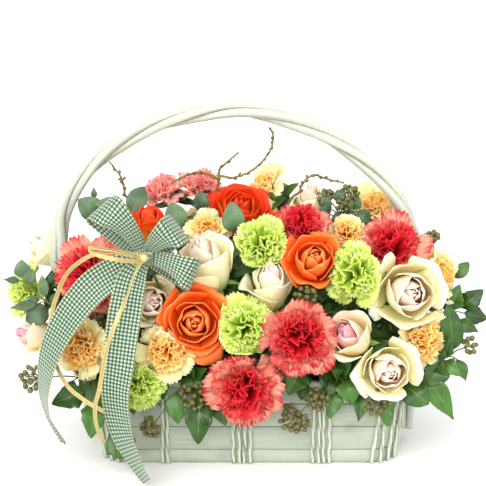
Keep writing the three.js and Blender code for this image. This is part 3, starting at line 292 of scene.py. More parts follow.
def unit(ways):
    """Ways scaled to length one."""
    return ways / np.linalg.norm(ways, axis=-1, keepdims=True)


def frames_along(path):
    """Unit vectors along a path and two across it; the first one across is carried along the path so
    that it turns as little as it can."""
    along = unit(np.gradient(path, axis=0))
    side = np.array([0.0, 0.0, 1.0])
    if abs(side @ along[0]) > 0.9:
        side = np.array([1.0, 0.0, 0.0])
    sides = np.empty_like(path)
    for i, way in enumerate(along):
        side = side - way * (side @ way)
        side /= np.linalg.norm(side)
        sides[i] = side
    return along, sides, np.cross(along, sides)


def tube(path, radii, sides=8, marks=(0, 0, 0, 0), finish=0, ridges=0, depth=0.0, twist=0.0, closed=False):
    """A round tube along a path: a circle set across the path at each point. ridges of a depth run
    along it, turning by twist turns. The ends close in to a small point."""
    path = np.asarray(path, float)
    radii = np.broadcast_to(np.asarray(radii, float), (len(path),)).copy()
    if not closed:
        path = np.concatenate([path[:1], path, path[-1:]])
        radii = np.concatenate([radii[:1] * TUBE_END_SHARE, radii, radii[-1:] * TUBE_END_SHARE])
        inner = path[1:-1]
        _, side, other = frames_along(inner)
        side, other = (np.concatenate([a[:1], a, a[-1:]]) for a in (side, other))
    else:
        _, side, other = frames_along(path)
    angle = np.linspace(0, 2 * math.pi, sides, endpoint=False)[None, :]
    share = np.linspace(0, 1, len(path))[:, None]
    groove = np.cos(ridges * (angle + 2 * math.pi * twist * share)) if ridges else np.ones_like(angle + share)
    reach = radii[:, None] * (1 - depth * (0.5 - 0.5 * groove))
    points = (
        path[:, None] + side[:, None] * (reach * np.cos(angle))[..., None]
        + other[:, None] * (reach * np.sin(angle))[..., None])
    values = np.broadcast_to(np.array(marks, float), (*points.shape[:2], 4)).copy()
    # The first mark is 0 in the grooves and 1 on the ridges, or runs from 0 to 1 along a tube without ridges;
    # the painted willow finishes colour the grooves darker as painted shade.
    values[..., 0] += groove * 0.5 + 0.5 if ridges else share
    faces = [ring_faces(len(path), sides, closed)[:, ::-1]]
    if not closed:
        last = (len(path) - 1) * sides
        faces.append(np.array([np.arange(sides)[::-1], last + np.arange(sides)])[:, ::-1])
    return {"points": points.reshape(-1, 3), "marks": values.reshape(-1, 4), "faces": faces, "finish": finish}


def through(points, count):
    """A smooth path of count points through a few: the cubic spline whose slope at each one is half
    the step between its neighbours."""
    given = np.asarray(points, float)
    padded = np.concatenate([2 * given[:1] - given[1:2], given, 2 * given[-1:] - given[-2:-1]])
    place = np.linspace(0, len(given) - 1, count)
    low = np.minimum(place.astype(int), len(given) - 2)
    t = (place - low)[:, None]
    a, b, c, d = (padded[low + k] for k in range(4))
    return 0.5 * (
        2 * b + (c - a) * t + (2 * a - 5 * b + 4 * c - d) * t ** 2 + (3 * b - a - 3 * c + d) * t ** 3)


def rod(foot, head, seed):
    """An upright willow rod, a little bowed and knotty, with a blunt foot."""
    draw = np.random.default_rng(seed)
    share = np.linspace(0, 1, ROD_STEPS)[:, None]
    path = np.asarray(foot) * (1 - share) + np.asarray(head) * share
    path[:, :2] += np.sin(share * math.pi * 2 + draw.uniform(0, 6, 2)) * ROD_BOW
    path[:, 2] = np.maximum(path[:, 2], ROD_FOOT)
    radii = ROD_RADIUS * (1 + draw.uniform(-0.08, 0.1, ROD_STEPS))
    return tube(path, radii, 10, (0, draw.uniform(), 0, 0), ridges=2, depth=0.3, twist=2.2)


hoop_height = SLAT_EDGES[-1][1] + GAP + HOOP_RADIUS
low_wall = wall_sizes(0, GAP + ROD_RADIUS)
high_wall = wall_sizes(hoop_height, GAP + ROD_RADIUS)
lean = np.random.default_rng(5)
rods = []
for face in (-1, 1):
    for middle, count in ROD_GROUPS:
        for k in range(count):
            x = middle + (k - (count - 1) / 2) * ROD_PITCH
            a, b = lean.uniform(-ROD_LEAN, ROD_LEAN, 2)
            foot, head = (x + a, face * low_wall[1], 0), (x + b, face * high_wall[1], hoop_height)
            rods.append(rod(foot, head, len(rods)))
    for y in END_ROD_PLACES:
        rods.append(rod((face * low_wall[0], y, 0), (face * high_wall[0], y, hoop_height), len(rods)))
    for end in (-1, 1):
        for k in range(CORNER_RODS):
            turn = math.pi / 2 * (k + 0.5) / CORNER_RODS + lean.uniform(-0.03, 0.03)
            places = [
                (end * (length - corner + corner * math.cos(turn)),
                 face * (depth - corner + corner * math.sin(turn)), height)
                for (length, depth, corner), height in ((low_wall, 0), (high_wall, hoop_height))
            ]
            rods.append(rod(*places, len(rods)))
hoop_path = wall_loop(hoop_height, GAP + ROD_RADIUS - HOOP_RADIUS * 0.6, 10)
around = np.linspace(0, 2 * math.pi, 40, endpoint=False)
hoop = tube(hoop_path, HOOP_RADIUS, 12, closed=True, ridges=3, depth=0.2, twist=HOOP_TURNS)
eyes = []
for end in (-1, 1):
    middle = end * wall_sizes(hoop_height, HANDLE_OFFSET)[0]
    ring = np.stack([
        middle + EYE_RADIUS * np.cos(around), EYE_RADIUS * np.sin(around), 0 * around + hoop_height], axis=1)
    eyes.append(tube(ring, EYE_WIRE_RADIUS, 8, closed=True))


def read_marks(tree):
    """The four marks of each point, as four sockets."""
    marks = add(tree, "Attribute", attribute_name="marks")
    return [*add(tree, "SeparateColor", {"Color": marks}).outputs, marks.outputs["Alpha"]]


# The same paint on willow: the bark's fibres lie about 2.4 mm apart across the rod and run along it,
# and the rod's grooves are coloured dark brown as painted shade.
painted_willow, tree, surface = new_finish("painted_willow_rod", Roughness=0.6, IOR=1.45)
place = add(tree, "TexCoord").outputs["Object"]
stretch = add(tree, "Mapping", {"Vector": place, "Scale": (420, 420, 40)})
fibre = add(tree, "TexNoise", {"Vector": stretch, "Scale": 1.0, "Detail": 5.0})
groove_shade = add(tree, "Math", {0: read_marks(tree)[0], 1: 0.4, 2: fibre}, operation="MULTIPLY_ADD")
colour(surface, groove_shade, [(0.3, "#575138"), (0.5, "#9aa18c"), (0.75, "#c0cab4")])
relief(surface, fibre, 0.4, 0.8)
put("willow_rods_and_hoop", rods + [hoop] + eyes, [painted_willow], "basket_frame")

# ---- The floor, the plastic tub and the wet foam stand inside. The floor is one chip board; the tub
# is thin dark plastic; the foam is a green phenolic block with open cells under half a millimetre.
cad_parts["basket_floor"].material_slots[0].material = painted_willow


def mottled_finish(name, per_metre, dark, light, depth_mm, **shader):
    """A skin that drifts between two colours and is a little uneven to the same pattern."""
    finish, tree, surface = new_finish(name, **shader)
    patch = speckle(tree, per_metre)
    colour(surface, patch, [(0.3, dark), (0.7, light)])
    relief(surface, patch, depth_mm)
    return finish


# Thin polythene, vacuum formed: dark, half shiny and slightly buckled every centimetre or so.
tub_plastic = mottled_finish("dark_polythene_tub", 90.0, "#20291d", "#38472f", 0.6, Roughness=0.4, IOR=1.51)
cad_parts["water_liner"].material_slots[0].material = tub_plastic

# Wet phenolic foam: quite matt and dark, with cells drawn about 1.4 mm wide so that they show.
wet_foam, tree, surface = new_finish("wet_floral_foam", Roughness=0.95)
place = add(tree, "TexCoord").outputs["Object"]
cells = add(tree, "TexVoronoi", {"Vector": place, "Scale": 700.0})
colour(surface, speckle(tree, 40.0, 4.0), [(0.3, "#16260f"), (0.7, "#2c4420")])
relief(surface, cells, 0.4, 0.8)
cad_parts["flower_foam"].material_slots[0].material = wet_foam

# ---- The handle: three fat willow strands twisted together, about three and a half turns from leg to
# leg, and painted off-white. Painted shade darkens the bark's long furrows and the gaps between strands.
STRAND_RADIUS = 5.6
STRAND_CENTRE = 5.2
STRAND_STEPS = 260
HANDLE_TURNS = 3.4
HANDLE_FOOT = 14
HANDLE_SAMPLES = 1200
# The middle line over the flowers in x and z, from the left leg to the right.
HANDLE_ARCH = [
    (-224, 180), (-231, 217), (-229, 250), (-225, 284), (-204, 323), (-167, 360), (-109, 391),
    (-37, 408), (14, 405), (67, 389), (110, 366), (148, 336), (178, 299), (195, 262), (205, 225),
    (211, 180),
]
leg_heights = [HANDLE_FOOT, WALL_HEIGHT, WALL_HEIGHT + 30]
left_leg = [(-wall_sizes(z, HANDLE_OFFSET)[0], 0, z) for z in leg_heights]
right_leg = [(wall_sizes(z, HANDLE_OFFSET)[0], 0, z) for z in leg_heights[::-1]]
handle_line = through([*left_leg, *[(x, 0, z) for x, z in HANDLE_ARCH], *right_leg], HANDLE_SAMPLES)
handle_run = run_along(handle_line)
even_run = np.linspace(0, handle_run[-1], STRAND_STEPS)
handle_line = np.stack([np.interp(even_run, handle_run, handle_line[:, k]) for k in range(3)], axis=1)
level = np.array([0.0, 1.0, 0.0])
out = unit(np.cross(level, unit(np.gradient(handle_line, axis=0))))
turn_share = np.linspace(0, 1, STRAND_STEPS)

# Off-white paint over bark, with specks of about 3 mm where the paint missed. The mark is low where a
# strand sinks between its neighbours, and the joins are coloured grey-brown there as painted shade.
handle_paint_and_shade, tree, surface = new_finish("painted_willow_handle", Roughness=0.5, IOR=1.45)
fleck = speckle(tree, 300.0, 5.0, Roughness=0.6)
mixed = add(tree, "Math", {0: read_marks(tree)[0], 1: 0.6, 2: fleck}, operation="MULTIPLY_ADD")
colour(surface, mixed, [(0.36, "#6f6c58"), (0.52, "#9a9c8a"), (0.75, "#b2b5a5"), (1.05, "#bdc0b1")])
relief(surface, fleck, 0.5)
for strand in range(3):
    draw = np.random.default_rng(40 + strand)
    wind = 2 * math.pi * (HANDLE_TURNS * turn_share + strand / 3)
    out_way = level * np.cos(wind)[:, None] + out * np.sin(wind)[:, None]
    round_way = out * np.cos(wind)[:, None] - level * np.sin(wind)[:, None]
    spots = np.arange(0, STRAND_STEPS + 9, 10)
    swell = np.interp(np.arange(STRAND_STEPS), spots, draw.uniform(0.94, 1.06, len(spots)))
    layer = tube(
        handle_line + STRAND_CENTRE * out_way, STRAND_RADIUS * swell, 32, ridges=5, depth=0.05, twist=1.2)
    rows = np.clip(np.arange(-1, STRAND_STEPS + 1), 0, STRAND_STEPS - 1)
    middle = handle_line[rows][:, None]
    points = layer["points"].reshape(len(rows), -1, 3)
    for turn in (1, -1, 1, -1):
        wall = (turn * 0.5 * round_way - math.sin(math.pi / 3) * out_way)[rows][:, None]
        over = np.sum((points - middle) * wall, axis=-1, keepdims=True) + GAP / 2
        points = points - np.maximum(over, 0) * wall
    layer["points"] = points.reshape(-1, 3)
    # The first mark is low where a strand is pressed in against its neighbours and in its furrows; the
    # paint's colour is darkened there as painted shade in the joins.
    reach = np.linalg.norm(points - middle, axis=-1).ravel()
    layer["marks"][:, 0] = np.clip((reach - 5) / 4, 0, 1) * 0.7 + 0.3 * layer["marks"][:, 0]
    put(f"handle_twist_{strand + 1}", [layer], [handle_paint_and_shade], f"handle_strand_{strand + 1}")

# ---- The roses and carnations. A rose is a spiral of cupped petals whose rims roll back; a carnation
# is a dome of toothed, ruffled fans. Each head sits on its own cut stem, pushed into the foam.
PRESS_BAND = 10
INTERLEAVE = 8
FULLNESS = 1.12
PETAL_THICKNESS = 0.65
GOLDEN_ANGLE = 2.4
STEM_RADIUS = 2.0
FOOT_SHARE = np.array([0.5, 0.4, -0.26])
FOOT_TOP = 130
BACK_FROM_Y = 60
FRONT_ROOM = 6
NEAR_GAP = 2
# For each head: its node, habit, shade, middle, radius, and the way it faces.
BLOOMS = [
    ("rose_orange_open", "rose", "orange", (-63, -138, 183), 40, (0.0, -1, 0.22)),
    ("rose_orange_cup", "cup", "orange", (73, -112, 248), 34, (0.05, -1, 0.55)),
    ("rose_flame_bud", "bud", "flame", (-119, -62, 280), 24, (0.1, -0.35, 1)),
    ("rose_flame_open", "rose", "flame", (-12, -27, 291), 40, (0.1, -0.75, 0.8)),
    ("rose_cream_tall", "bud", "cream", (-48, -105, 240), 40, (-0.35, -0.5, 1)),
    ("rose_cream_shaded", "cup", "cream", (-115, -118, 202), 32, (0.3, -1, 0.2)),
    ("rose_cream_closed", "bud", "cream", (24, -112, 216), 33, (0.0, -0.45, 1)),
    ("rose_cream_large", "cup", "cream", (182, -112, 211), 43, (0.15, -1, 0.25)),
    ("rose_pink_tip", "bud", "blush", (116, -140, 165), 34, (-0.45, -0.8, 0.6)),
    ("rose_cream_low", "cup", "cream", (157, -142, 127), 35, (0.1, -1, 0.1)),
    ("rose_cream_top", "bud", "cream", (75, 5, 289), 28, (-0.1, -0.3, 1)),
    ("rose_cream_left", "bud", "cream", (-243, 42, 227), 31, (-0.9, -0.2, 0.5)),
    ("rose_pink_left", "bud", "blush", (-251, -64, 148), 26, (-0.9, -0.5, 0.25)),
    ("carnation_salmon_low", "carnation", "salmon", (-6, -157, 110), 43, (0, -1, -0.1)),
    ("carnation_salmon_centre", "carnation", "salmon", (56, -158, 170), 43, (0.05, -1, 0.05)),
    ("carnation_salmon_upper", "carnation", "salmon", (61, -60, 277), 33, (-0.1, -0.8, 0.7)),
    ("carnation_salmon_right", "carnation", "salmon", (167, -62, 253), 41, (0.1, -0.8, 0.6)),
    ("carnation_salmon_left", "carnation", "salmon", (-189, -86, 226), 42, (-0.35, -0.9, 0.4)),
    ("spray_salmon_top", "carnation", "pink", (-106, 15, 308), 26, (-0.4, -0.3, 1)),
    ("spray_salmon_top", "carnation", "pink", (-60, 25, 312), 29, (0.1, -0.2, 1)),
    ("carnation_lime_upper", "carnation", "lime", (14, -100, 265), 31, (0.1, -0.9, 0.5)),
    ("carnation_lime_right", "carnation", "lime", (118, -118, 235), 33, (-0.4, -1, 0.2)),
    ("carnation_lime_centre", "carnation", "lime", (-5, -145, 178), 34, (0, -1, 0.15)),
    ("carnation_lime_low", "carnation", "lime", (-127, -141, 109), 29, (0.1, -1, -0.1)),
    ("carnation_lime_left", "carnation", "lime", (-268, -27, 194), 31, (-1, -0.3, 0.2)),
    ("carnation_peach_left", "carnation", "peach", (-196, -118, 147), 35, (-0.5, -1, 0.05)),
    ("carnation_peach_front", "carnation", "peach", (-97, -140, 148), 32, (-0.1, -1, 0.1)),
    ("carnation_peach_right", "carnation", "peach", (202, -112, 155), 33, (0.6, -0.9, 0.1)),
    ("carnation_peach_shoulder", "carnation", "peach", (224, -62, 224), 31, (0.8, -0.5, 0.4)),
    ("carnation_peach_top", "carnation", "peach", (153, 24, 287), 29, (0.1, -0.5, 0.9)),
    ("carnation_peach_upper", "carnation", "peach", (114, -55, 270), 26, (0, -0.9, 0.5)),
    ("carnation_peach_bow", "carnation", "peach", (-50, -70, 279), 25, (0, -0.8, 0.6)),
    ("carnation_peach_crest", "carnation", "peach", (16, 32, 309), 30, (-0.7, -0.2, 0.6)),
    ("spray_back_left", "carnation", "salmon", (-165, 92, 215), 36, (-0.4, 1, 0.4)),
    ("spray_back_left", "carnation", "salmon", (-105, 122, 165), 36, (-0.1, 1, 0.2)),
    ("spray_back_left", "carnation", "salmon", (-188, 92, 145), 34, (-0.6, 1, 0.1)),
    ("spray_back_centre", "carnation", "peach", (-62, 98, 245), 36, (-0.1, 1, 0.6)),
    ("spray_back_centre", "carnation", "peach", (-12, 132, 180), 37, (0, 1, 0.2)),
    ("spray_back_centre", "carnation", "peach", (42, 100, 248), 36, (0.1, 1, 0.6)),
    ("spray_back_right", "carnation", "lime", (130, 92, 222), 35, (0.3, 1, 0.5)),
    ("spray_back_right", "carnation", "lime", (76, 124, 160), 35, (0.1, 1, 0.1)),
    ("spray_back_right", "carnation", "lime", (178, 92, 150), 35, (0.6, 1, 0.1)),
]


def facing_turn(facing):
    """The smallest rotation that takes straight up to a direction, as a 3 by 3 matrix."""
    way = unit(np.array(facing, float))
    cross = np.cross([0.0, 0.0, 1.0], way)
    skew = np.array([[0, -cross[2], cross[1]], [cross[2], 0, -cross[0]], [-cross[1], cross[0], 0]])
    return np.eye(3) + skew + skew @ skew / (1 + way[2])


def walls_of(number):
    """Flat walls between a head and each near neighbour, set by the two radii. A head that stands in
    front takes a little more room. Gives the walls and how far the nearest three stand, in the mean."""
    here, radius = np.array(BLOOMS[number][3], float), BLOOMS[number][4]
    walls, rooms = [], [2.0 * radius] * 3
    for k, other in enumerate(BLOOMS):
        way = np.array(other[3], float) - here
        distance = np.linalg.norm(way)
        if k != number and distance < radius + other[4] + NEAR_GAP:
            share = (distance ** 2 + radius ** 2 - other[4] ** 2) / (2 * distance)
            before = 0.2 * way[1] * np.sign(BACK_FROM_Y - here[1])
            share += INTERLEAVE + np.clip(before, -FRONT_ROOM, FRONT_ROOM)
            walls.append((way / distance, (way / distance) @ here + share))
            rooms.append(share)
    return walls, np.mean(np.sort(rooms)[:3])


def pressed(points, walls):
    """Points that come near a wall are moved back evenly, so that petals of two heads never cross."""
    band = PRESS_BAND - GAP
    for _ in range(2):
        for normal, offset in walls:
            room = offset - points @ normal
            back = room - GAP - band * np.exp(np.minimum(room - PRESS_BAND, 0) / band)
            points = points + np.where(room < PRESS_BAND, back, 0)[..., None] * normal
    return points


def thin_bodies(sheets, marks, thickness, finish=0):
    """Closes sheets (count, rows, columns, 3) into thin bodies: a copy is set off along each sheet's
    normal, and the two are joined round their edges. The last mark is 0 on one side, 1 on the other."""
    count, rows, columns, _ = sheets.shape
    normal = np.cross(np.gradient(sheets, axis=2), np.gradient(sheets, axis=1))
    normal /= np.linalg.norm(normal, axis=-1, keepdims=True) + 1e-9
    front, back = sheets + normal * thickness / 2, sheets - normal * thickness / 2
    size = rows * columns
    points = np.concatenate([front.reshape(count, size, 3), back.reshape(count, size, 3)], axis=1)
    grid = np.arange(size).reshape(rows, columns)
    near = np.stack([grid[:-1, :-1], grid[:-1, 1:], grid[1:, 1:], grid[1:, :-1]], axis=-1).reshape(-1, 4)
    rim = np.concatenate([grid[0, :-1], grid[:-1, -1], grid[-1, :0:-1], grid[:0:-1, 0]])
    nxt = np.roll(rim, -1)
    edge = np.stack([nxt, rim, rim + size, nxt + size], axis=1)
    faces = np.concatenate([near, near[:, ::-1] + size, edge])
    faces = (faces[None] + (np.arange(count) * 2 * size)[:, None, None]).reshape(-1, 4)
    values = np.concatenate([marks.reshape(count, size, 4)] * 2, axis=1)
    values[:, :size, 3], values[:, size:, 3] = 0, 1
    uv = np.stack(np.meshgrid(np.linspace(0, 1, columns), np.linspace(0, 1, rows)), axis=-1)
    flat = np.tile(uv.reshape(1, size, 2), (count, 2, 1))
    return {
        "points": points.reshape(-1, 3), "marks": values.reshape(-1, 4), "uv": flat.reshape(-1, 2),
        "faces": [faces], "finish": finish,
    }


# For each habit of rose: its petals, the reach of its outermost rim, how late the rims open, the
# height of its heart, how far the rims drop, how late they drop, and from where on they roll back.
ROSE_HABITS = {
    "rose": (19, 0.98, 1.75, 0.6, 0.5, 2.4, 0.34),
    "cup": (18, 0.95, 2.9, 0.76, 0.42, 3.4, 0.5),
    "bud": (13, 0.72, 3.0, 1.0, 0.42, 2.6, 0.65),
}


def rose_petals(habit, draw):
    """Petals of a rose as (count, rows, columns, 3) in head radii. Each is part of a cup whose profile
    is a cubic curve from the calyx to the rim; outer petals stand wider and lower, their sides flare
    and their rims roll back. Petals follow each other by the golden angle."""
    count, spread, opening, height, drop, falling, rolls_from = ROSE_HABITS[habit]
    rows, columns = 12, 13
    order = np.linspace(0, 1, count)[:, None, None]
    jitter = draw.uniform(-1, 1, (6, count, 1, 1))
    v = np.linspace(0, 1, rows)[None, :, None]
    u = np.linspace(-1, 1, columns)[None, None, :]
    s = v * (1 - 0.17 * np.abs(u) ** 2.4 + 0.06 * (1 - np.abs(u)) ** 2 * order)
    base = -0.3 - 0.47 * height
    reach = [
        0.07 + 0.05 * order, 0.13 + 0.6 * spread * order, 0.15 + 0.7 * spread * order ** 0.95,
        0.01 + 0.22 * order + (spread - 0.23) * order ** opening]
    rise = [
        base + 0 * order, base - 0.05 + 0.1 * order, 0.55 * height - 0.15 - 0.12 * order,
        height - 0.12 * order - (drop - 0.12) * order ** falling]
    curve = [(1 - s) ** 3, 3 * (1 - s) ** 2 * s, 3 * (1 - s) * s ** 2, s ** 3]
    out_by = sum(w * r for w, r in zip(curve, reach)) * (1 + 0.07 * jitter[0] * order)
    up_by = sum(w * r for w, r in zip(curve, rise)) + 0.09 * jitter[1] * s * order
    roll = np.clip((order - rolls_from) / (1 - rolls_from), 0, 1) * (1 + 0.4 * jitter[2])
    curl = np.clip((s - 0.6) / 0.4, 0, 1) ** 2 * roll
    out_by = out_by + 0.15 * curl
    up_by = up_by - 0.2 * curl * (1 + 0.7 * np.abs(u))
    opened = 0.25 + 0.75 * np.sin(math.pi / 2 * np.minimum(s / 0.62, 1))
    narrowing = 1 - 0.22 * np.clip((s - 0.62) / 0.38, 0, 1) ** 2
    half = (1.6 - (0.3 if habit == "bud" else 0.62) * order) * opened * narrowing
    angle = GOLDEN_ANGLE * np.arange(count)[:, None, None] + 0.15 * jitter[3] + u * half
    out_by = out_by * (1 + 0.2 * order * (u * half) ** 2 * s)
    up_by = up_by + 0.07 * np.sin(4 * u + 6 * jitter[4]) * s ** 3 * order
    out_by = out_by + 0.05 * np.sin(6.5 * u + 6 * jitter[5]) * s ** 3 * order
    sheets = np.stack([out_by * np.cos(angle), out_by * np.sin(angle), up_by + 0 * angle], axis=-1)
    tint = np.broadcast_to(0.5 + 0.5 * jitter[5], s.shape)
    return sheets, np.stack([s, order + 0 * s, tint, 0 * s], axis=-1)


# For each colour of carnation: its crumpled inner petals, the reach of their dome, and its guard
# petals, the broad ones that spread below the dome.
CARNATION_HABITS = {
    "salmon": (36, 0.78, 9), "pink": (24, 0.8, 9), "lime": (30, 0.84, 9), "peach": (32, 0.6, 9),
}


def carnation_petals(habit, draw):
    """Petals of a carnation as (count, rows, columns, 3) in head radii. Each runs from the calyx to
    its rim on a quadratic curve whose end leans out from the axis by an angle. The blade widens like
    a fan, waves across its own face, and has teeth along its end."""
    inner, dome, guards = CARNATION_HABITS[habit]
    count, rows, columns = inner + guards, 8, 17
    number = np.arange(count)[:, None, None]
    guard = number >= inner
    jitter = draw.uniform(-1, 1, (9, count, 1, 1))
    share = np.sqrt(np.minimum((number + 0.5) / inner, 1))
    v = np.linspace(0, 1, rows)[None, :, None]
    u = np.linspace(-1, 1, columns)[None, None, :]
    lean = np.where(guard, 1.25 + 0.45 * ((number - inner) % 2), 1.42 * share) + 0.26 * jitter[0]
    long = np.where(guard, 1.0, dome * (0.94 + 0.1 * share)) * (1 + np.where(guard, 0.2, 0.15) * jitter[1])
    wide = np.where(guard, 0.43, 0.24 + 0.12 * share)
    tall = np.where(guard, 0.065, 0.1)
    blade = np.clip((v - 0.2) / 0.8, 0, 1)
    notch = draw.uniform(0.3, 1, (count, 1, columns)) * (np.arange(columns) % 2 == 0)
    rim = 1 - 0.13 * notch * np.where(guard, 0.6, 1) - 0.2 * u ** 4
    s = v * (1 + (rim - 1) * blade ** 2)
    start = [0.05 + 0.04 * share, -0.5 + 0 * share]
    middle = [0.08 + 0.16 * share + 0.1 * guard, 0.02 - 0.12 * guard + 0 * share]
    end = [long * np.sin(lean), -0.12 + long * np.cos(lean) * 0.95]
    path, slope = [], []
    for a, b, c in zip(start, middle, end):
        path.append((1 - s) ** 2 * a + 2 * (1 - s) * s * b + s ** 2 * c)
        slope.append(2 * (1 - s) * (b - a) + 2 * s * (c - b))
    steep = np.sqrt(slope[0] ** 2 + slope[1] ** 2) + 1e-6
    wave = tall * blade * (
        np.sin(4.3 * u + 9 * jitter[2]) + 0.75 * np.sin(9.1 * u + 9 * jitter[3]) * blade
        + 0.35 * np.sin(17 * u + 9 * jitter[4]) * blade ** 2)
    out_by = path[0] - wave * slope[1] / steep
    up_by = path[1] + wave * slope[0] / steep
    side = u * (0.045 + wide * blade ** 0.75) + 0.1 * jitter[5] * blade * ~guard
    angle = GOLDEN_ANGLE * number + np.where(guard, 0.4, 0.5) * jitter[6]
    out_by = out_by + 0.09 * jitter[7] * blade * ~guard
    x = out_by * np.cos(angle) - side * np.sin(angle)
    y = out_by * np.sin(angle) + side * np.cos(angle)
    sheets = np.stack([x, y, up_by + 0 * x], axis=-1)
    order = np.where(guard, 1.0, 0.7 * share)
    marks = np.stack([s + 0 * x, order + 0 * x, 0.5 + 0.5 * jitter[8] + 0 * x, 0 * x], axis=-1)
    return sheets, marks


# For each kind of leaf: how far back its widest place lies, how blunt its ends are, and its rows.
LEAF_SHAPES = {
    "ivy": (0.56, 0.66, 19), "oval": (0.85, 0.7, 13), "lance": (0.75, 1.15, 13), "rose": (0.7, 0.9, 15),
}
LEAF_THICKNESS = 0.6


def leaf(foot, tip, width, kind, faces, draw, finish=0, keep_out=(), coarse=False):
    """A leaf blade from foot to tip. Its half width is an arch, sin(pi v^a)^b; ivy has a bump for each
    lobe, swept forward, and a rose leaf small teeth. The halves fold up from the midrib, the whole
    arches, and the edge waves. Points within a keep-out ball are moved to its surface."""
    foot, tip, faces = (np.asarray(a, float) for a in (foot, tip, faces))
    length = np.linalg.norm(tip - foot)
    way = (tip - foot) / length
    up = unit(faces - way * (faces @ way))
    across = np.cross(way, up)
    early, blunt, rows = LEAF_SHAPES[kind]
    rows = 9 if coarse else rows
    v = np.linspace(0, 1, rows)[:, None]
    u = np.linspace(-1, 1, 5 if coarse else 9)[None, :]
    half = np.maximum(np.sin(math.pi * v ** early), 0) ** blunt
    skew = 0.0
    if kind == "ivy":
        lobes = 0.2 * np.exp(-((v - 0.22) / 0.08) ** 2) + 0.08 * np.exp(-((v - 0.5) / 0.09) ** 2)
        half = 0.85 * half + lobes
        skew = 0.25
    if kind == "rose":
        half = half * (1 + 0.06 * (np.arange(rows) % 2)[:, None])
    half = np.maximum(half, 0.03) * width / 2
    go = v * length + skew * np.abs(u) ** 2 * half * (1 - v) * 1.6
    fold, arch, wave = draw.uniform(0.05, 0.35), draw.uniform(0.06, 0.26), draw.uniform(0, 6)
    lift = (
        fold * np.abs(u) * half + arch * width * np.sin(math.pi * np.minimum(v * 1.15, 1.35))
        + 0.06 * width * np.sin(8 * v + wave) * u + 0.03 * width * np.sin(15 * v + wave) * u ** 2)
    sheet = foot + way * go[..., None] + across * (u * half)[..., None] + up * lift[..., None]
    for middle, radius in keep_out:
        off = sheet - middle
        distance = np.linalg.norm(off, axis=-1, keepdims=True)
        sheet = np.where(distance < radius, middle + off / distance * radius, sheet)
    tint = np.full(half.shape, draw.uniform()) + 0 * u
    marks = np.stack([v + 0 * u, u * 0.5 + 0.5 + 0 * v, tint, 0 * tint], axis=-1)
    return thin_bodies(sheet[None], marks[None], LEAF_THICKNESS, finish)


def petal_finish(name, outer, heart, spread=(0.0, 0.5, 0.88, 1.0), back=None):
    """A petal's skin: soft and cool like wet paper, a little see-through, with ribs from its base to its
    rim and crepe of about 2 mm. outer and heart are the hex colours from base to rim of the outermost
    and innermost petals, spread says where they stand, and back is the lower side's colour."""
    finish, tree, surface = new_finish(
        name, Roughness=0.5, IOR=1.36, Subsurface_Weight=0.55, Subsurface_Scale=0.005,
        Subsurface_Radius=(1.0, 0.75, 0.55))
    up_petal, order, tint, side = read_marks(tree)
    ribs = add(tree, "TexNoise", {"Vector": flat_place(tree, (26, 1.5, 1)), "Scale": 1.0, "Detail": 3.0})
    drift = add(tree, "MapRange", {"Value": ribs, 1: 0.3, 2: 0.7, 3: -0.1, 4: 0.1})
    share = add(tree, "Math", {0: drift, 1: up_petal}, operation="ADD")
    wide = ramp(tree, share, list(zip(spread, outer.split())))
    deep = ramp(tree, share, list(zip(spread, heart.split())))
    layer = add(tree, "MapRange", {"Value": order, 1: 0.35, 2: 0.85})
    both = add(tree, "Mix", {0: layer, 6: deep, 7: wide}, data_type="RGBA").outputs[2]
    if back:
        under = add(tree, "Math", {0: 1.0, 1: side}, operation="SUBTRACT")
        fade = add(tree, "MapRange", {"Value": up_petal, 1: 0.35, 2: 0.8, 3: 0.9, 4: 0.1})
        part = add(tree, "Math", {0: under, 1: fade}, operation="MULTIPLY")
        both = add(tree, "Mix", {0: part, 6: both, 7: linear(back)}, data_type="RGBA").outputs[2]
    shade = add(tree, "MapRange", {"Value": tint, 3: 0.88, 4: 1.08})
    feed(surface.inputs["Base Color"], add(tree, "VectorMath", {0: both, "Scale": shade}, operation="SCALE"))
    crepe = add(tree, "Math", {0: speckle(tree, 450.0), 1: 0.4, 2: ribs}, operation="MULTIPLY_ADD")
    relief(surface, crepe, 0.35, 0.4)
    return finish


def away_from(tree, value, middle):
    """How far a value is from a middle one, on either side."""
    off = add(tree, "Math", {0: value, 1: middle}, operation="SUBTRACT")
    return add(tree, "Math", {0: off}, operation="ABSOLUTE")


def leaf_finish(name, dark, light, vein, roughness):
    """A leaf's skin: waxy, so its highlights are sharp, and darker between the veins. The midrib and the
    slanting side veins come from the leaf's own marks, and the colour drifts from leaf to leaf."""
    finish, tree, surface = new_finish(name, Roughness=roughness, IOR=1.45)
    up_leaf, across, tint, _ = read_marks(tree)
    off = away_from(tree, across, 0.5)
    slant = add(tree, "Math", {0: off, 1: -0.9, 2: up_leaf}, operation="MULTIPLY_ADD")
    beat = add(tree, "Math", {0: slant, 1: 40.0}, operation="MULTIPLY")
    wave = add(tree, "Math", {0: beat}, operation="SINE")
    side_vein = add(tree, "MapRange", {"Value": wave, 1: 0.88, 2: 1.0, 3: 0.0, 4: 0.2})
    midrib = add(tree, "MapRange", {"Value": off, 1: 0.0, 2: 0.03, 3: 0.6, 4: 0.0})
    veins = add(tree, "Math", {0: side_vein, 1: midrib}, operation="MAXIMUM")
    patch = speckle(tree, 60.0, 4.0)
    drift = add(tree, "Math", {0: tint, 1: 0.55, 2: patch}, operation="MULTIPLY_ADD")
    body = ramp(tree, drift, [(0.35, dark), (1.0, light)])
    mixed = add(tree, "Mix", {0: veins, 6: body, 7: linear(vein)}, data_type="RGBA")
    feed(surface.inputs["Base Color"], mixed.outputs[2])
    dip = add(tree, "Math", {0: veins, 1: -1.0, 2: patch}, operation="MULTIPLY_ADD")
    relief(surface, dip, 0.4, 0.6)
    return finish


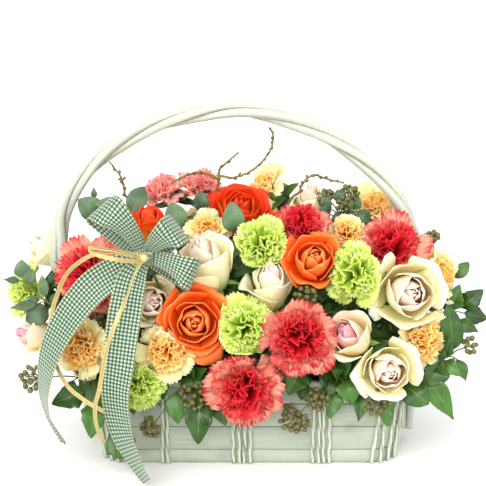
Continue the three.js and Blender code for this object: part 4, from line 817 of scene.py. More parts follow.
# For each shade: its flower, then what petal_finish takes: the outermost petals' colours from base to
# rim and the innermost ones', and for some where the colours stand and the colour of the back.
PETAL_COLOURS = {
    "orange": ("rose", "#ff5612 #ff651a #ff6c26 #ff8040", "#ff7426 #ff782c #ff7e36 #ff9050"),
    "flame": (
        "rose", "#f6bc2c #f4981c #ea3c0c #e2200a", "#f2a820 #f0801a #ea340c #e82c10",
        (0.0, 0.42, 0.68, 1.0), "#f2a430",
    ),
    "cream": ("rose", "#c6d480 #f4eaa8 #fff0c8 #fee6cc", "#ffcea8 #ffd2b6 #ffd8c0 #ffe4d0"),
    "blush": ("rose", "#c4ce7c #f4e2a6 #fee4c4 #fbd0c0", "#ff9c98 #ffa2a2 #ffa2aa #fa94a6"),
    "salmon": (
        "carnation", "#b82020 #e05846 #f49a82 #b80e2a", "#84030a #ae0812 #d01a22 #c01026",
        (0.0, 0.45, 0.8, 1.0),
    ),
    "pink": ("carnation", "#d06858 #f09a86 #f8b4a2 #d4405a", "#c23a3c #e46e62 #f29486 #dc5064"),
    "lime": ("carnation", "#98b832 #b4d04c #c6dc6a #dcec94", "#90b02a #acca40 #bcd456 #d0e27c"),
    "peach": ("carnation", "#f6b24e #ffda86 #ffeaa6 #fff0bc", "#f67c14 #ff962e #ffb04e #ffcc78"),
}
PETALS = {
    shade: petal_finish(f"{shade}_{flower}_petal", *colours)
    for shade, (flower, *colours) in PETAL_COLOURS.items()
}
stem_green = leaf_finish("rose_leaf", "#14280b", "#3c6420", "#5f8438", 0.4)
calyx_green = leaf_finish("calyx", "#54782a", "#7ea040", "#94b058", 0.5)
# Balls inside the heads, which leaves stay out of, and for each whorl of leaves on a stem its step down
# the stem and its size.
HEAD_BALLS = [(np.array(row[3], float), row[4] * 0.8) for row in BLOOMS]
WHORLS = [(3, 0.8), (5, 1.0), (7, 1.0), (9, 0.9), (11, 0.8)]
LOWEST_LEAF_TIP = 102
# Each calyx's radius and its height over the seat, ring by ring, in head radii.
ROSE_CALYX = np.array([[0.16, -0.05], [0.24, -0.02], [0.2, -0.2], [0.1, -0.36]])
CARNATION_CALYX = np.array([[0.13, 0.1], [0.19, 0.0], [0.18, -0.2], [0.1, -0.38]])


def spoke(turn, angle):
    """A way out from an axis at an angle round it."""
    return turn @ np.array([math.cos(angle), math.sin(angle), 0.0])


def bloom(number, draw):
    """One head with its calyx, stem and leaves, as layers. Finish 0 is petal, 1 leaf, 2 calyx."""
    name, kind, shade, at, radius, faces = BLOOMS[number]
    turn, middle = facing_turn(faces), np.array(at, float)
    facing = turn @ np.array([0.0, 0.0, 1.0])
    sheets, marks = carnation_petals(shade, draw) if kind == "carnation" else rose_petals(kind, draw)
    walls, room = walls_of(number)
    opened = min(radius * FULLNESS, room * 1.1)
    placed = pressed(sheets * opened @ turn.T + middle, walls)
    layers = [thin_bodies(placed, marks, PETAL_THICKNESS, 0)]
    seat = -0.68 if kind == "bud" else -0.5
    profile = CARNATION_CALYX if kind == "carnation" else ROSE_CALYX
    calyx_path = middle + facing * radius * (seat + profile[:, 1:])
    layers.append(tube(calyx_path, radius * profile[:, 0], 12, (0, 0.5, 0.4, 0), 2))
    stem_top = middle + facing * radius * (seat - 0.3)
    foot_at = next(row[3] for row in BLOOMS if row[0] == name)
    foot = np.array(foot_at, float) * FOOT_SHARE + np.array([0, 0, FOOT_TOP])
    lead = stem_top - facing * radius * 0.4
    stem_path = through([stem_top, lead, (lead + foot) / 2, foot], 14)
    layers.append(tube(stem_path, STEM_RADIUS, 8, (0, 0.5, 0.3, 0), 1))
    for k in range(5):
        side = spoke(turn, 2 * math.pi * k / 5 + draw.uniform(-0.2, 0.2))
        base = middle + facing * radius * (seat - 0.02) + side * radius * 0.15
        if kind == "carnation":
            end = base + (facing * 0.26 + side * 0.12) * radius
        else:
            end = base + (side * 0.55 - facing * 0.2) * radius
        layers.append(leaf(base, end, radius * 0.22, "lance", facing + side * 0.2, draw, 2))
    level = np.array([0.0, -0.7 if at[1] < BACK_FROM_Y else 0.7, 0.6])
    for step, size in WHORLS:
        for k in range(3):
            side = spoke(turn, GOLDEN_ANGLE * (step + k) + draw.uniform(-0.6, 0.6))
            end = stem_path[step] + (side + level * draw.uniform(0.1, 0.5)) * draw.uniform(26, 40) * size
            if end[2] < LOWEST_LEAF_TIP:
                continue
            shape = "rose" if draw.uniform() < 0.7 else "ivy"
            width = draw.uniform(16, 25) * size
            layers.append(leaf(
                stem_path[step], end, width, shape, level + 0.3 * side, draw, 1, HEAD_BALLS, True))
    return layers


for name in dict.fromkeys(row[0] for row in BLOOMS):
    numbers = [k for k, row in enumerate(BLOOMS) if row[0] == name]
    shade = BLOOMS[numbers[0]][2]
    layers = [layer for k in numbers for layer in bloom(k, np.random.default_rng(100 + k))]
    put(f"{name}_bloom", layers, [PETALS[shade], stem_green, calyx_green], name)

# ---- Ivy and eucalyptus: leafy stems tucked between the flowers and over the rim. Ivy leaves are
# lobed, thick and glossy, with umbels of round berries; eucalyptus leaves are oval and waxy grey.
STALK_RADIUS = 0.8
BERRY_RADIUS = 3.5
BERRIES_MORE = 1.7
LEAF_FULLNESS = 1.12
TO_FRONT = (0, -1, 0.35)
TO_BACK = (0, 1, 0.35)
SPRAY_STEPS = 24
# For each spray: its name, the bearings in degrees between which it clothes the rim, its stem's route,
# its leaves (the step of the stem that the stalk leaves, foot, tip, width, kind) and its umbels of
# berries (the step, middle, spread, count).
SPRAYS = [
    (
        "ivy_left", (155, 238),
        [(-118, -44, 112), (-172, -88, 116), (-197, -108, 109)],
        [
            (20, (-191, -123, 96), (-229, -132, 84), 28, "ivy"),
            (17, (-177, -126, 86), (-184, -140, 45), 28, "ivy"),
            (23, (-205, -112, 106), (-214, -126, 84), 14, "lance"),
            (17, (-163, -130, 50), (-134, -129, 17), 34, "ivy"),
        ],
        [(23, (-254, -100, 105), 15, 14)],
    ),
    (
        "ivy_front_left", (238, 266),
        [(-66, -48, 112), (-72, -100, 114), (-66, -117, 109)],
        [
            (23, (-87, -121, 94), (-83, -132, 60), 25, "ivy"),
            (23, (-58, -124, 92), (-60, -140, 38), 33, "ivy"),
            (23, (-40, -120, 88), (-28, -127, 56), 21, "ivy"),
        ],
        [(22, (-64, -134, 95), 17, 16), (18, (-114, -129, 55), 12, 12)],
    ),
    (
        "ivy_front_right", (266, 316),
        [(76, -48, 112), (98, -98, 114), (106, -116, 110)],
        [
            (11, (60, -118, 122), (44, -134, 96), 30, "ivy"),
            (20, (100, -120, 96), (92, -132, 66), 20, "ivy"),
            (22, (112, -120, 110), (118, -134, 84), 30, "ivy"),
            (23, (132, -119, 92), (126, -129, 62), 16, "lance"),
            (22, (156, -119, 86), (160, -126, 54), 17, "ivy"),
        ],
        [(16, (52, -136, 68), 17, 20), (20, (79, -134, 90), 13, 12), (23, (145, -134, 88), 16, 14)],
    ),
    (
        "ivy_right", (316, 385),
        [(124, -40, 112), (178, -84, 116), (214, -94, 124), (232, -95, 130)],
        [
            (8, (180, -110, 100), (207, -126, 82), 30, "oval"),
            (10, (206, -106, 110), (238, -116, 60), 24, "lance"),
            (20, (228, -100, 126), (206, -112, 100), 27, "oval"),
            (23, (243, -92, 126), (254, -96, 101), 14, "lance"),
            (22, (238, -94, 138), (230, -100, 194), 25, "oval"),
        ],
        [(23, (256, -93, 143), 10, 7)],
    ),
    (
        "ivy_end_right", None,
        [(122, -14, 112), (190, -34, 150), (240, -50, 172)],
        [
            (22, (238, -56, 178), (247, -62, 208), 24, "ivy"),
            (23, (252, -50, 178), (277, -52, 200), 24, "ivy"),
            (23, (256, -46, 170), (284, -44, 163), 22, "ivy"),
            (23, (246, -60, 164), (271, -64, 152), 16, "lance"),
            (21, (246, -22, 208), (264, -18, 226), 15, "oval"),
        ],
        [(20, (219, -18, 256), 9, 8)],
    ),
    (
        "ivy_back", (25, 155),
        [(64, 46, 112), (92, 100, 116), (10, 116, 114), (-80, 116, 113), (-176, 98, 112)],
        [
            (7, (98, 124, 104), (106, 136, 64), 28, "ivy"),
            (10, (38, 128, 100), (30, 140, 58), 26, "ivy"),
            (13, (-26, 130, 98), (-22, 142, 54), 28, "ivy"),
            (17, (-84, 130, 96), (-92, 140, 56), 26, "ivy"),
            (21, (-146, 122, 98), (-158, 134, 60), 26, "ivy"),
            (23, (-196, 108, 106), (-228, 114, 90), 24, "ivy"),
            (6, (150, 116, 110), (182, 124, 72), 26, "ivy"),
            (16, (-59, 136, 160), (-62, 146, 206), 24, "oval"),
            (21, (-148, 126, 150), (-138, 138, 196), 24, "oval"),
            (6, (88, 122, 198), (92, 108, 240), 26, "oval"),
        ],
        [],
    ),
    (
        "eucalyptus_left", None,
        [(-122, -12, 112), (-196, -46, 160), (-236, -64, 186), (-266, -68, 214)],
        [
            (22, (-266, -68, 218), (-267, -72, 241), 18, "oval"),
            (22, (-271, -68, 215), (-289, -70, 217), 8, "lance"),
            (16, (-242, -66, 196), (-243, -66, 219), 11, "oval"),
            (16, (-250, -72, 188), (-282, -76, 184), 11, "lance"),
            (14, (-238, -66, 180), (-264, -74, 168), 24, "oval"),
        ],
        [(8, (-168, -98, 178), 13, 12)],
    ),
    (
        "eucalyptus_top", None,
        [(-28, -16, 112), (-24, -56, 222), (-16, -76, 262)],
        [
            (23, (-18, -80, 276), (-21, -82, 312), 24, "oval"),
            (22, (-2, -78, 270), (2, -80, 288), 11, "oval"),
            (19, (-20, -92, 248), (-15, -98, 277), 17, "lance"),
            (11, (-82, -56, 276), (-93, -44, 304), 23, "oval"),
            (10, (-58, -46, 296), (-56, -48, 318), 18, "oval"),
        ],
        [],
    ),
    (
        "eucalyptus_left_top", None,
        [(-96, -8, 112), (-140, -22, 230), (-158, -28, 284)],
        [
            (23, (-178, -24, 284), (-204, -24, 304), 26, "oval"),
            (23, (-150, -32, 300), (-187, -40, 302), 15, "lance"),
            (22, (-142, -30, 288), (-126, -14, 318), 22, "oval"),
            (23, (-186, -12, 304), (-186, -14, 317), 7, "lance"),
        ],
        [],
    ),
    (
        "eucalyptus_right", None,
        [(92, -8, 112), (100, -14, 230), (108, -16, 284)],
        [
            (23, (94, -22, 292), (87, -24, 309), 12, "oval"),
            (23, (107, -14, 300), (105, -14, 314), 12, "oval"),
            (23, (124, -12, 290), (130, -12, 306), 14, "oval"),
            (23, (130, -16, 288), (143, -22, 276), 15, "oval"),
            (22, (112, -24, 290), (120, -34, 304), 17, "oval"),
            (21, (96, -24, 286), (80, -34, 292), 18, "rose"),
            (20, (122, -30, 276), (136, -38, 290), 20, "rose"),
            (19, (104, -30, 274), (102, -42, 292), 18, "rose"),
        ],
        [
            (23, (92, -14, 304), 10, 9), (23, (120, -10, 308), 10, 9),
            (21, (112, -30, 300), 9, 8), (9, (64, -136, 213), 12, 10),
        ],
    ),
]
RIM_LEAF_STEP = 6.5
RIM_LEAF_HEIGHT = 104
RIM_LEAF_OFFSET = 2
RIM_END_HALF_DEPTH = 60
SHOOT_STEP = 6.5
STALK_MARKS = (0.3, 0, 0, 0)
# A berry's rings: how far round each lies from its stalk, in radians, and its share of the radius.
BERRY_RINGS = np.array([0.4, 1.0, 1.6, 2.2, 2.6, 2.75, 3.0])
BERRY_WIDTHS = np.array([0.39, 0.85, 1.0, 0.8, 0.46, 0.2, 0.08])

ivy_green = leaf_finish("ivy_leaf", "#132d0b", "#3f6d21", "#76964a", 0.3)
eucalyptus_green = leaf_finish("eucalyptus_leaf", "#2c4028", "#587650", "#6e5c42", 0.48)
# Young woody stem: matt, and blotched from brown to green every few millimetres.
brown_stem = mottled_finish("ivy_stem", 200.0, "#4a3a1c", "#7c7a3c", 0.3, Roughness=0.6)
# Unripe berry: olive green and half shiny, with a brown ring round the point at its end.
berry_skin, tree, surface = new_finish("ivy_berry", Roughness=0.42, IOR=1.45)
patch = speckle(tree, 260.0)
shade = add(tree, "Math", {0: patch, 1: 0.25, 2: read_marks(tree)[0]}, operation="MULTIPLY_ADD")
colour(surface, shade, [(0.1, "#5c6630"), (0.6, "#6a6636"), (0.9, "#453a22"), (1.0, "#2a2018")])
relief(surface, patch, 0.3)


def stalk(root, base, rise=0.0, radius=STALK_RADIUS, count=8, sides=6):
    """A thin stalk from a root to a base, arched by a rise."""
    path = through([root, (root + base) / 2 + (0, 0, rise), base], count)
    return tube(path, radius, sides, STALK_MARKS, 1)


def berry_umbel(root, middle, spread, count, draw):
    """Berries set round a middle by the golden angle, each on a thin stalk from the umbel's hub. A
    berry is a tube whose radius follows a circle, with a ring and a small point at its far end."""
    out = unit(middle - root)
    turn = facing_turn(out)
    hub = middle - out * spread * 0.55
    layers = [stalk(root, hub, 2, 0.9)]
    count = int(count * BERRIES_MORE)
    number = np.arange(count)
    height = 1 - 1.6 * (number + 0.5) / count
    wide = np.sqrt(1 - height ** 2)
    around = number * GOLDEN_ANGLE
    ways = np.stack([wide * np.cos(around), wide * np.sin(around), height], 1) @ turn.T
    for way in ways:
        spot = middle + way * spread * draw.uniform(0.8, 1.05)
        line = unit(spot - hub)
        radius = BERRY_RADIUS * draw.uniform(0.78, 1.05)
        layers.append(tube([hub, (hub + spot) / 2, spot], 0.45, 4, (0.2, 0, 0, 0), 1))
        steps = spot + line * (-np.cos(BERRY_RINGS) * radius)[:, None]
        layers.append(tube(steps, BERRY_WIDTHS * radius, 7, finish=2))
    return layers


def rim_leaves(start, end, draw):
    """Ivy leaves along the rim between two bearings in degrees, from the right end by way of the back,
    spaced by a rule with a seeded draw: most hang over it, the rest stand up before the foam."""
    loop = wall_loop(RIM_LEAF_HEIGHT, RIM_LEAF_OFFSET, 24)
    loop = np.concatenate([loop, loop[:1]])
    run = run_along(loop)
    places = np.arange(0, run[-1], RIM_LEAF_STEP)
    spots = np.stack([np.interp(places, run, loop[:, k]) for k in range(3)], axis=1)
    bearing = np.degrees(np.arctan2(spots[:, 1] / RIM_HALF_DEPTH, spots[:, 0] / RIM_HALF_LENGTH)) % 360
    bearing = np.where(bearing < start, bearing + 360, bearing)
    layers = []
    for spot in spots[bearing < end]:
        out = unit(spot * (0.35, 1, 0) if abs(spot[1]) > RIM_END_HALF_DEPTH else spot * (1, 0, 0))
        along = np.cross(out, [0, 0, 1])
        length = draw.uniform(22, 38)
        base = spot + out * draw.uniform(-8, 3) + (0, 0, draw.uniform(-3, 14)) + along * draw.uniform(-4, 4)
        if draw.uniform() < 0.6:
            end_at = base + along * draw.uniform(-16, 16) + out * draw.uniform(5, 16) - (0, 0, length)
        else:
            end_at = base + along * draw.uniform(-20, 20) + out * draw.uniform(-8, 8) + (0, 0, length)
        kind = "ivy" if draw.uniform() < 0.75 else "rose"
        width = length * draw.uniform(0.65, 0.95)
        layers.append(leaf(base, end_at, width, kind, out + (0, 0, 0.5), draw, 0, HEAD_BALLS, True))
        root = spot - out * 18 + (0, 0, 8)
        layers.append(stalk(root, base, 4, 0.6, 6, 5))
    return layers


def side_leaves(route, faces, small, draw):
    """Leaves that alternate along a route from near its root to its tip, on short stalks, and point
    outward and along it, as they grow on the real stem."""
    layers = []
    faces = np.array(faces)
    kind, step = ("ivy", 2) if small == 1 else ("oval", 4)
    way, side, other = frames_along(route)
    for k, i in enumerate(range(6, len(route) - 1, step)):
        around = math.pi * k + draw.uniform(-0.9, 0.9)
        out = side[i] * math.cos(around) + other[i] * math.sin(around)
        start = route[i] + out * 3
        length = draw.uniform(20, 30) * small
        end = start + (out + 0.5 * way[i] + faces * 0.25) * length * 0.8
        layers.append(tube([route[i], (route[i] + start) / 2, start], 0.6, 5, STALK_MARKS, 1))
        layers.append(leaf(start, end, length * 0.7, kind, faces + 0.2 * out, draw, 0, HEAD_BALLS, True))
    return layers


def foam_shoots(start, end, draw):
    """Leafy tips that stand in the foam behind the heads, spread between two bearings by the golden
    ratio. Each is a thin stem that leans out, with a leaf on each side in turn."""
    layers = []
    count = int((end - start) / SHOOT_STEP)
    for k in range(count):
        bearing = math.radians(start + (end - start) * ((k * 0.618 + 0.3) % 1))
        way = np.array([math.cos(bearing) * RIM_HALF_LENGTH, math.sin(bearing) * RIM_HALF_DEPTH, 0])
        share = draw.uniform(0.35, 0.68)
        tall = draw.uniform(45, 120)
        foot = way * share + (0, 0, FOOT_TOP - 20)
        tip = way * (share + draw.uniform(0.1, 0.35)) + (0, 0, FOOT_TOP - 10 + tall)
        path = through([foot, (foot + tip) / 2 + (0, 0, 0.15 * tall), tip], 22)
        layers.append(tube(path, np.linspace(1.3, 0.7, len(path)), 6, STALK_MARKS, 1))
        layers += side_leaves(path, unit(way) + (0, 0, 0.6), 1, draw)
    return layers


for number, (name, rim, route, leaves, umbels) in enumerate(SPRAYS):
    draw = np.random.default_rng(300 + number)
    ivy = name.startswith("ivy")
    faces = TO_BACK if name == "ivy_back" else TO_FRONT
    route = through(route, SPRAY_STEPS)
    layers = [tube(route, np.linspace(1.6, 0.9, SPRAY_STEPS), 8, STALK_MARKS, 1)]
    for at, foot, tip, width, kind in leaves:
        layers.append(stalk(route[at], foot, 1.5))
        layers.append(leaf(foot, tip, width * LEAF_FULLNESS, kind, faces, draw))
    layers += side_leaves(route, faces, 1 if ivy else 0.75, draw)
    for at, middle, spread, count in umbels:
        layers += berry_umbel(route[at], middle, spread, count, draw)
    if rim:
        layers += rim_leaves(*rim, draw)
        layers += foam_shoots(*rim, draw)
    finishes = [ivy_green if ivy else eucalyptus_green, brown_stem, berry_skin]
    put(f"{name}_spray", layers, finishes, name)

# ---- Curly willow: one thin forked branch, brown-green bark with a bud every two or three
# centimetres. It stands in the foam behind the flowers, and its shoots show under the handle.
WILLOW_FOOT = (6, 8, 100)
WILLOW_FORK = (-30, 10, 232)
WILLOW_SHOOTS = [
    [WILLOW_FORK, (-110, -8, 262), (-144, -12, 298), (-151, -16, 321), (-154, -16, 331), (-167, -14, 348)],
    [
        WILLOW_FORK, (-36, 6, 276), (-37, -8, 326), (-22, -12, 328), (-4, -10, 333), (14, -8, 346),
        (25, -6, 362), (28, -6, 378), (23, -6, 388),
    ],
    [(-37, -8, 326), (-36, -10, 338), (-28, -12, 346), (-13, -12, 359)],
    [(-37, -8, 326), (-56, -12, 334), (-72, -14, 333), (-94, -16, 322)],
    [
        WILLOW_FORK, (32, -10, 262), (48, -30, 304), (58, -32, 314), (64, -30, 326), (76, -26, 334),
        (92, -20, 328), (113, -14, 322),
    ],
]
BUD_SPACING = 10
BUD_RADIUS = 1.6


def willow_shoot(points, seed):
    """A thin shoot that tapers and kinks a little at each bud. A bud is a short spindle laid along
    the shoot and leaning out of it."""
    draw = np.random.default_rng(seed)
    path = through(points, 18 * len(points))
    length = run_along(path)[-1]
    path[1:-1] += draw.uniform(-0.5, 0.5, path[1:-1].shape)
    layers = [tube(path, np.linspace(1.7, 1.0, len(path)), 8, (0, 0.5, 0, 0))]
    way, side, other = frames_along(path)
    for k in range(2, int(length / BUD_SPACING)):
        i = min(int(k * BUD_SPACING / length * len(path)), len(path) - 2)
        angle = k * GOLDEN_ANGLE
        lean_out = side[i] * math.cos(angle) + other[i] * math.sin(angle)
        start = path[i] + lean_out * 0.8
        share = np.linspace(0, 1, 6)[:, None]
        spindle = start + (way[i] * 4.8 + lean_out * 2.0) * share
        reach = BUD_RADIUS * np.sin(np.pi * (0.12 + 0.8 * share[:, 0]))
        layers.append(tube(spindle, reach, 6, (0.4, 1, 0, 0)))
    return layers


# Willow bark: matt, olive brown, darker and redder on the buds, wrinkled every few millimetres.
willow_bark, tree, surface = new_finish("curly_willow_bark", Roughness=0.7)
patch = speckle(tree, 240.0, 4.0)
shade = add(tree, "Math", {0: read_marks(tree)[1], 1: 0.35, 2: patch}, operation="MULTIPLY_ADD")
colour(surface, shade, [(0.35, "#564c20"), (0.62, "#7c7034"), (0.95, "#62401f")])
relief(surface, patch, 0.3, 0.6)
willow_layers = [tube(through([WILLOW_FOOT, (-12, 9, 170), WILLOW_FORK], 14), 1.9, 8, (0, 0.5, 0, 0))]
for number, shoot in enumerate(WILLOW_SHOOTS):
    willow_layers += willow_shoot(shoot, 400 + number)
put("curly_willow", willow_layers, [willow_bark], "willow_twigs")

# ---- The bow: satin-woven gingham ribbon, 38 mm wide, in green and white checks of about 4.3 mm with
# a gold thread along each edge. Three loops and two tails are gathered under a knot on a wooden pick.
KNOT = np.array([-118.0, -156.0, 264.0])
KNOT_RADIUS = 9
PICK_FOOT = (-66, -46, 100)
PICK_RADIUS = 1.5
RIBBON_WIDTH = 38
RIBBON_THICKNESS = 0.5
CHECK_MM = 4.3
GATHERED_WIDTH = 13
GATHER_SHARE = 0.3
LOOP_FULLNESS = 0.7
PLEAT = 1.6
KNOT_WIDTH = 15.0
KNOT_THICKNESS = 0.8
LOOP_STEPS = 64
TAIL_STEPS = 90
# For each loop: its bearings at the start and the end, its reach and how far it bulges. For each tail:
# the points it passes, its turn about its own length in degrees, and its width at each of them.
LOOPS = [
    ("upper_left", 112, 150, 74, 20),
    ("upper_right", 58, 22, 50, 26),
    ("lower_right", -6, -38, 60, 21),
]
TAILS = [
    (
        "left",
        [
            (-118, -158, 264), (-146, -162, 250), (-178, -160, 228), (-208, -160, 190),
            (-228, -160, 149), (-236, -154, 107), (-232, -146, 72), (-215, -143, 40),
        ],
        [0, 8, 18, 34, 50, 66, 72, 66], [14, 36, 38, 38, 38, 38, 33, 14],
    ),
    (
        "right",
        [
            (-118, -158, 264), (-132, -166, 240), (-140, -172, 203), (-148, -180, 147),
            (-152, -180, 106), (-146, -178, 64), (-131, -184, 32), (-117, -191, 11),
        ],
        [0, 0, 4, 16, 32, 42, 54, 62], [14, 34, 38, 38, 38, 38, 38, 38],
    ),
]

# Satin-woven polyester: checks of three tones by adding stripes across and along, a soft sheen, and a
# gold thread half a millimetre wide at each edge. The weave is drawn about 0.9 mm wide so that it shows.
gingham, tree, surface = new_finish(
    "gingham_satin_ribbon", Roughness=0.42, Sheen_Weight=0.25, Sheen_Roughness=0.4)
axes = add(tree, "SeparateXYZ", {"Vector": flat_place(tree)})
stripes = []
for axis in ("X", "Y"):
    pitch = add(tree, "Math", {0: axes.outputs[axis], 1: CHECK_MM}, operation="DIVIDE")
    part = add(tree, "Math", {0: pitch}, operation="FRACT")
    stripes.append(add(tree, "Math", {0: part, 1: 0.5}, operation="GREATER_THAN"))
both = add(tree, "Math", {0: stripes[0], 1: stripes[1]}, operation="ADD")
half = add(tree, "Math", {0: both, 1: 0.5}, operation="MULTIPLY")
check = ramp(tree, half, [(0.0, "#bbc6ae"), (0.4, "#547356"), (0.9, "#183826")])
check.color_ramp.interpolation = "CONSTANT"
off = away_from(tree, axes.outputs["X"], RIBBON_WIDTH / 2)
selvedge = add(tree, "Math", {0: off, 1: RIBBON_WIDTH / 2 - 0.5}, operation="GREATER_THAN")
edged = add(tree, "Mix", {0: selvedge, 6: check, 7: linear("#a8985a")}, data_type="RGBA")
feed(surface.inputs["Base Color"], edged.outputs[2])
weave = add(tree, "TexChecker", {"Vector": flat_place(tree, (2.2, 2.2, 1)), "Scale": 1.0})
relief(surface, weave.outputs["Fac"], 0.15)


def ribbon_strip(path, across, widths, thickness=RIBBON_THICKNESS, flat_width=RIBBON_WIDTH):
    """A ribbon along a path: each row lies across it, cupped a little and pleated where it is
    gathered. The flat map is in millimetres, across the full width and along the length."""
    along = unit(np.gradient(path, axis=0))
    side = unit(across - along * np.sum(across * along, axis=1, keepdims=True))
    up = np.cross(side, along)
    u = np.linspace(-0.5, 0.5, 17)[None, :]
    widths = np.asarray(widths, float)[:, None]
    tight = np.clip(1 - widths / flat_width, 0, 1)
    lift = 0.06 * widths * (1 - 4 * u ** 2) * (0.4 + tight) + PLEAT * tight * np.cos(u * 2 * math.pi * 3.5)
    sheet = path[:, None] + side[:, None] * (u * widths)[..., None] + up[:, None] * lift[..., None]
    run = run_along(path)
    layer = thin_bodies(sheet[None], np.zeros((1, *sheet.shape[:2], 4)), thickness)
    flat = np.stack([(u + 0.5) * flat_width + 0 * run[:, None], run[:, None] + 0 * u], axis=-1).reshape(-1, 2)
    layer["uv"] = np.concatenate([flat, flat])
    return layer, run[-1]


def hanging_across(path, turns):
    """Ways across a hanging ribbon that faces the front, turned about its own length by degrees."""
    along = unit(np.gradient(path, axis=0))
    flat_way = unit(np.cross(along, [0.0, 1.0, 0.0]))
    turn = np.radians(turns)[:, None]
    return flat_way * np.cos(turn) + np.cross(along, flat_way) * np.sin(turn)


swing = np.linspace(0, 2 * math.pi, 48)[:-1]
knot_path = KNOT + np.stack([
    1.5 * np.sin(2 * swing), -(KNOT_RADIUS - 1) * np.cos(swing), (KNOT_RADIUS + 1) * np.sin(swing)], axis=1)
knot_across = np.broadcast_to([1.0, 0.0, 0.15], knot_path.shape)
knot_layer, knot_length = ribbon_strip(
    knot_path, knot_across, np.full(len(swing), KNOT_WIDTH), KNOT_THICKNESS)
knot = put("bow_knot", [knot_layer], [gingham], "bow_ribbon")
share = np.linspace(0, 1, LOOP_STEPS)
for name, start, end, reach, bulge in LOOPS:
    turn = np.radians(start + (end - start) * share)
    out_by = reach * np.sin(math.pi * share) ** LOOP_FULLNESS
    forward = -bulge * np.sin(2 * math.pi * share)
    path = KNOT + np.stack([out_by * np.cos(turn), forward, out_by * np.sin(turn)], axis=1)
    across = np.stack([np.sin(turn), 0 * turn, -np.cos(turn)], axis=1)
    opened = np.minimum(1, np.minimum(share, 1 - share) / GATHER_SHARE)
    layer, length = ribbon_strip(path, across, GATHERED_WIDTH + (RIBBON_WIDTH - GATHERED_WIDTH) * opened)
    piece = put(f"bow_loop_{name}", [layer], [gingham], "bow_ribbon")
for name, points, turns, widths in TAILS:
    path = through(points, TAIL_STEPS)
    place, spots = np.linspace(0, len(points) - 1, TAIL_STEPS), np.arange(len(points))
    across = hanging_across(path, np.interp(place, spots, turns))
    layer, length = ribbon_strip(path, across, np.interp(place, spots, widths))
    piece = put(f"bow_tail_{name}", [layer], [gingham], "bow_ribbon")

# The pick is split birch stained green: matt, and blotchy every few millimetres.
pick_wood = mottled_finish("green_stained_pick", 150.0, "#2c4a26", "#44683a", 0.2, Roughness=0.7)
pick_head = KNOT + (0, KNOT_RADIUS + 2 * GAP, 0)
pick_path = through([pick_head, (pick_head + PICK_FOOT) / 2, PICK_FOOT], 10)
put("bow_wooden_pick", [tube(pick_path, PICK_RADIUS, 10)], [pick_wood], "bow_pick")

# ---- The gold braid: a flat braid of metal-wrapped threads, 4.6 mm wide, tied over the knot with one
# small loop, and hung in two lengths that twist as they fall.
BRAID_WIDTH = 4.6
BRAID_THICKNESS = 0.9
POINT_STEPS = 12
TIE = (-118, -172, 266)
TIE_RADIUS = 5.5
# The points that each length passes: the one hung to the left, the one hung before the right tail,
# and the small loop.
BRAIDS = [
    [
        (-118, -172, 266), (-136, -185, 272), (-158, -186, 275), (-180, -178, 268), (-205, -158, 245),
        (-219, -148, 215), (-226, -146, 190), (-226, -148, 165), (-221, -152, 138), (-208, -154, 112),
        (-186, -154, 93), (-160, -154, 76), (-150, -150, 52), (-152, -148, 34),
    ],
    [
        (-118, -172, 266), (-128, -178, 250), (-137, -184, 224), (-150, -190, 194), (-160, -192, 165),
        (-168, -194, 122), (-174, -190, 98), (-173, -178, 70), (-166, -168, 48),
    ],
    [
        (-118, -172, 267), (-146, -190, 277), (-174, -190, 281), (-172, -188, 274), (-146, -188, 267),
        (-118, -171, 261),
    ],
]
# Lurex: metal-wrapped thread, so half a metal, with bright plaits about a millimetre wide between two
# raised cords at the edges and dull gold in the gaps.
gold_thread, tree, surface = new_finish("gold_lurex_braid", Roughness=0.38, Metallic=0.7)
plait = add(tree, "TexChecker", {"Vector": flat_place(tree, turn=math.pi / 4), "Scale": 1.0})
flat_map = flat_place(tree)
axes = add(tree, "SeparateXYZ", {"Vector": flat_map})
off = away_from(tree, axes.outputs["X"], BRAID_WIDTH / 2)
cord = add(tree, "MapRange", {"Value": off, 1: 1.5, 2: 1.8})
fleck = add(tree, "TexNoise", {"Vector": flat_map, "Scale": 1.4, "Detail": 2.0})
mixed = add(tree, "Math", {0: plait.outputs["Fac"], 1: 0.45, 2: fleck}, operation="MULTIPLY_ADD")
raised = add(tree, "Math", {0: cord, 1: 0.35, 2: mixed}, operation="MULTIPLY_ADD")
colour(surface, raised, [(0.3, "#745c20"), (0.62, "#b39443"), (1.1, "#ecdca0")])
relief(surface, raised, 0.5, 0.8)
braid_layers = []
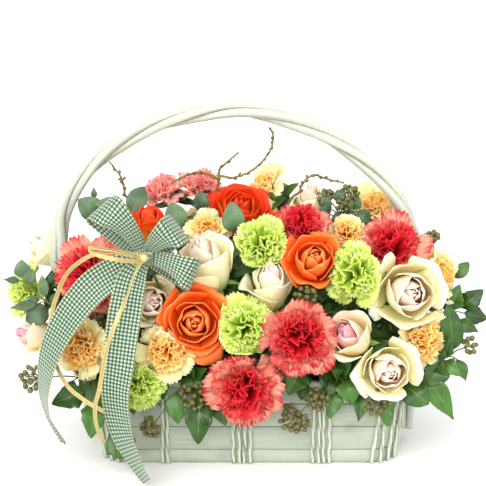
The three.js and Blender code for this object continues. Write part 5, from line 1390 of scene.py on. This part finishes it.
for points in BRAIDS:
    count = POINT_STEPS * len(points)
    path = through(points, count)
    steps = np.arange(count) / POINT_STEPS
    turns = 24 * np.sin(steps) + 50 * np.exp(-((steps - 1.5) / 1.5) ** 2)
    layer, length = ribbon_strip(
        path, hanging_across(path, turns), np.full(count, BRAID_WIDTH), BRAID_THICKNESS, BRAID_WIDTH)
    braid_layers.append(layer)
swing = np.linspace(0.15, math.pi - 0.15, 9)
tie_path = np.array(TIE) + np.stack([0 * swing, 0 * swing, -TIE_RADIUS * np.cos(swing)], axis=1)
braid_layers.append(tube(tie_path, TIE_RADIUS * np.sin(swing), 16))
braid = put("gold_braid", braid_layers, [gold_thread], "bow_gold_braid")

# ---- The table, the light and the air: a plain white table top, a broad soft lamp high on the front
# left, a weaker and lower one on the front right, and an even white surround, as in a bright studio.
TABLE_RADIUS = 14
TABLE_CORNERS = 64
angle = np.linspace(0, 2 * math.pi, TABLE_CORNERS, endpoint=False)
table_mesh = bpy.data.meshes.new("table_top")
table_mesh.from_pydata(
    [(TABLE_RADIUS * math.cos(a), TABLE_RADIUS * math.sin(a), 0) for a in angle], [],
    [list(range(TABLE_CORNERS))])
# Matt white table paint: close to pure white, so that the table melts into the air behind it.
table_paint, tree, surface = new_finish("white_table", Roughness=0.9)
feed(surface.inputs["Base Color"], linear("#f8f8f7"))
table_mesh.materials.append(table_paint)
table = bpy.data.objects.new("table_top", table_mesh)
bpy.context.scene.collection.objects.link(table)
table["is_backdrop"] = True


def lamp(name, strength, rotation, width):
    """A distant lamp, turned by degrees about each axis and as many degrees wide in the sky."""
    data = bpy.data.lights.new(name, "SUN")
    data.energy = strength
    data.angle = math.radians(width)
    made = bpy.data.objects.new(name, data)
    made.rotation_euler = [math.radians(a) for a in rotation]
    bpy.context.scene.collection.objects.link(made)


lamp("key_light", 2.9, (58, 0, -20), 50)
lamp("fill_light", 0.8, (68, 0, 38), 80)
world = bpy.data.worlds.new("studio_air")
world.use_nodes = True
air = world.node_tree.nodes["Background"]
feed(air.inputs["Color"], (1, 1, 1, 1))
feed(air.inputs["Strength"], 1.02)
bpy.context.scene.world = world
bpy.context.scene.view_settings.view_transform = "Standard"

low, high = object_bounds()
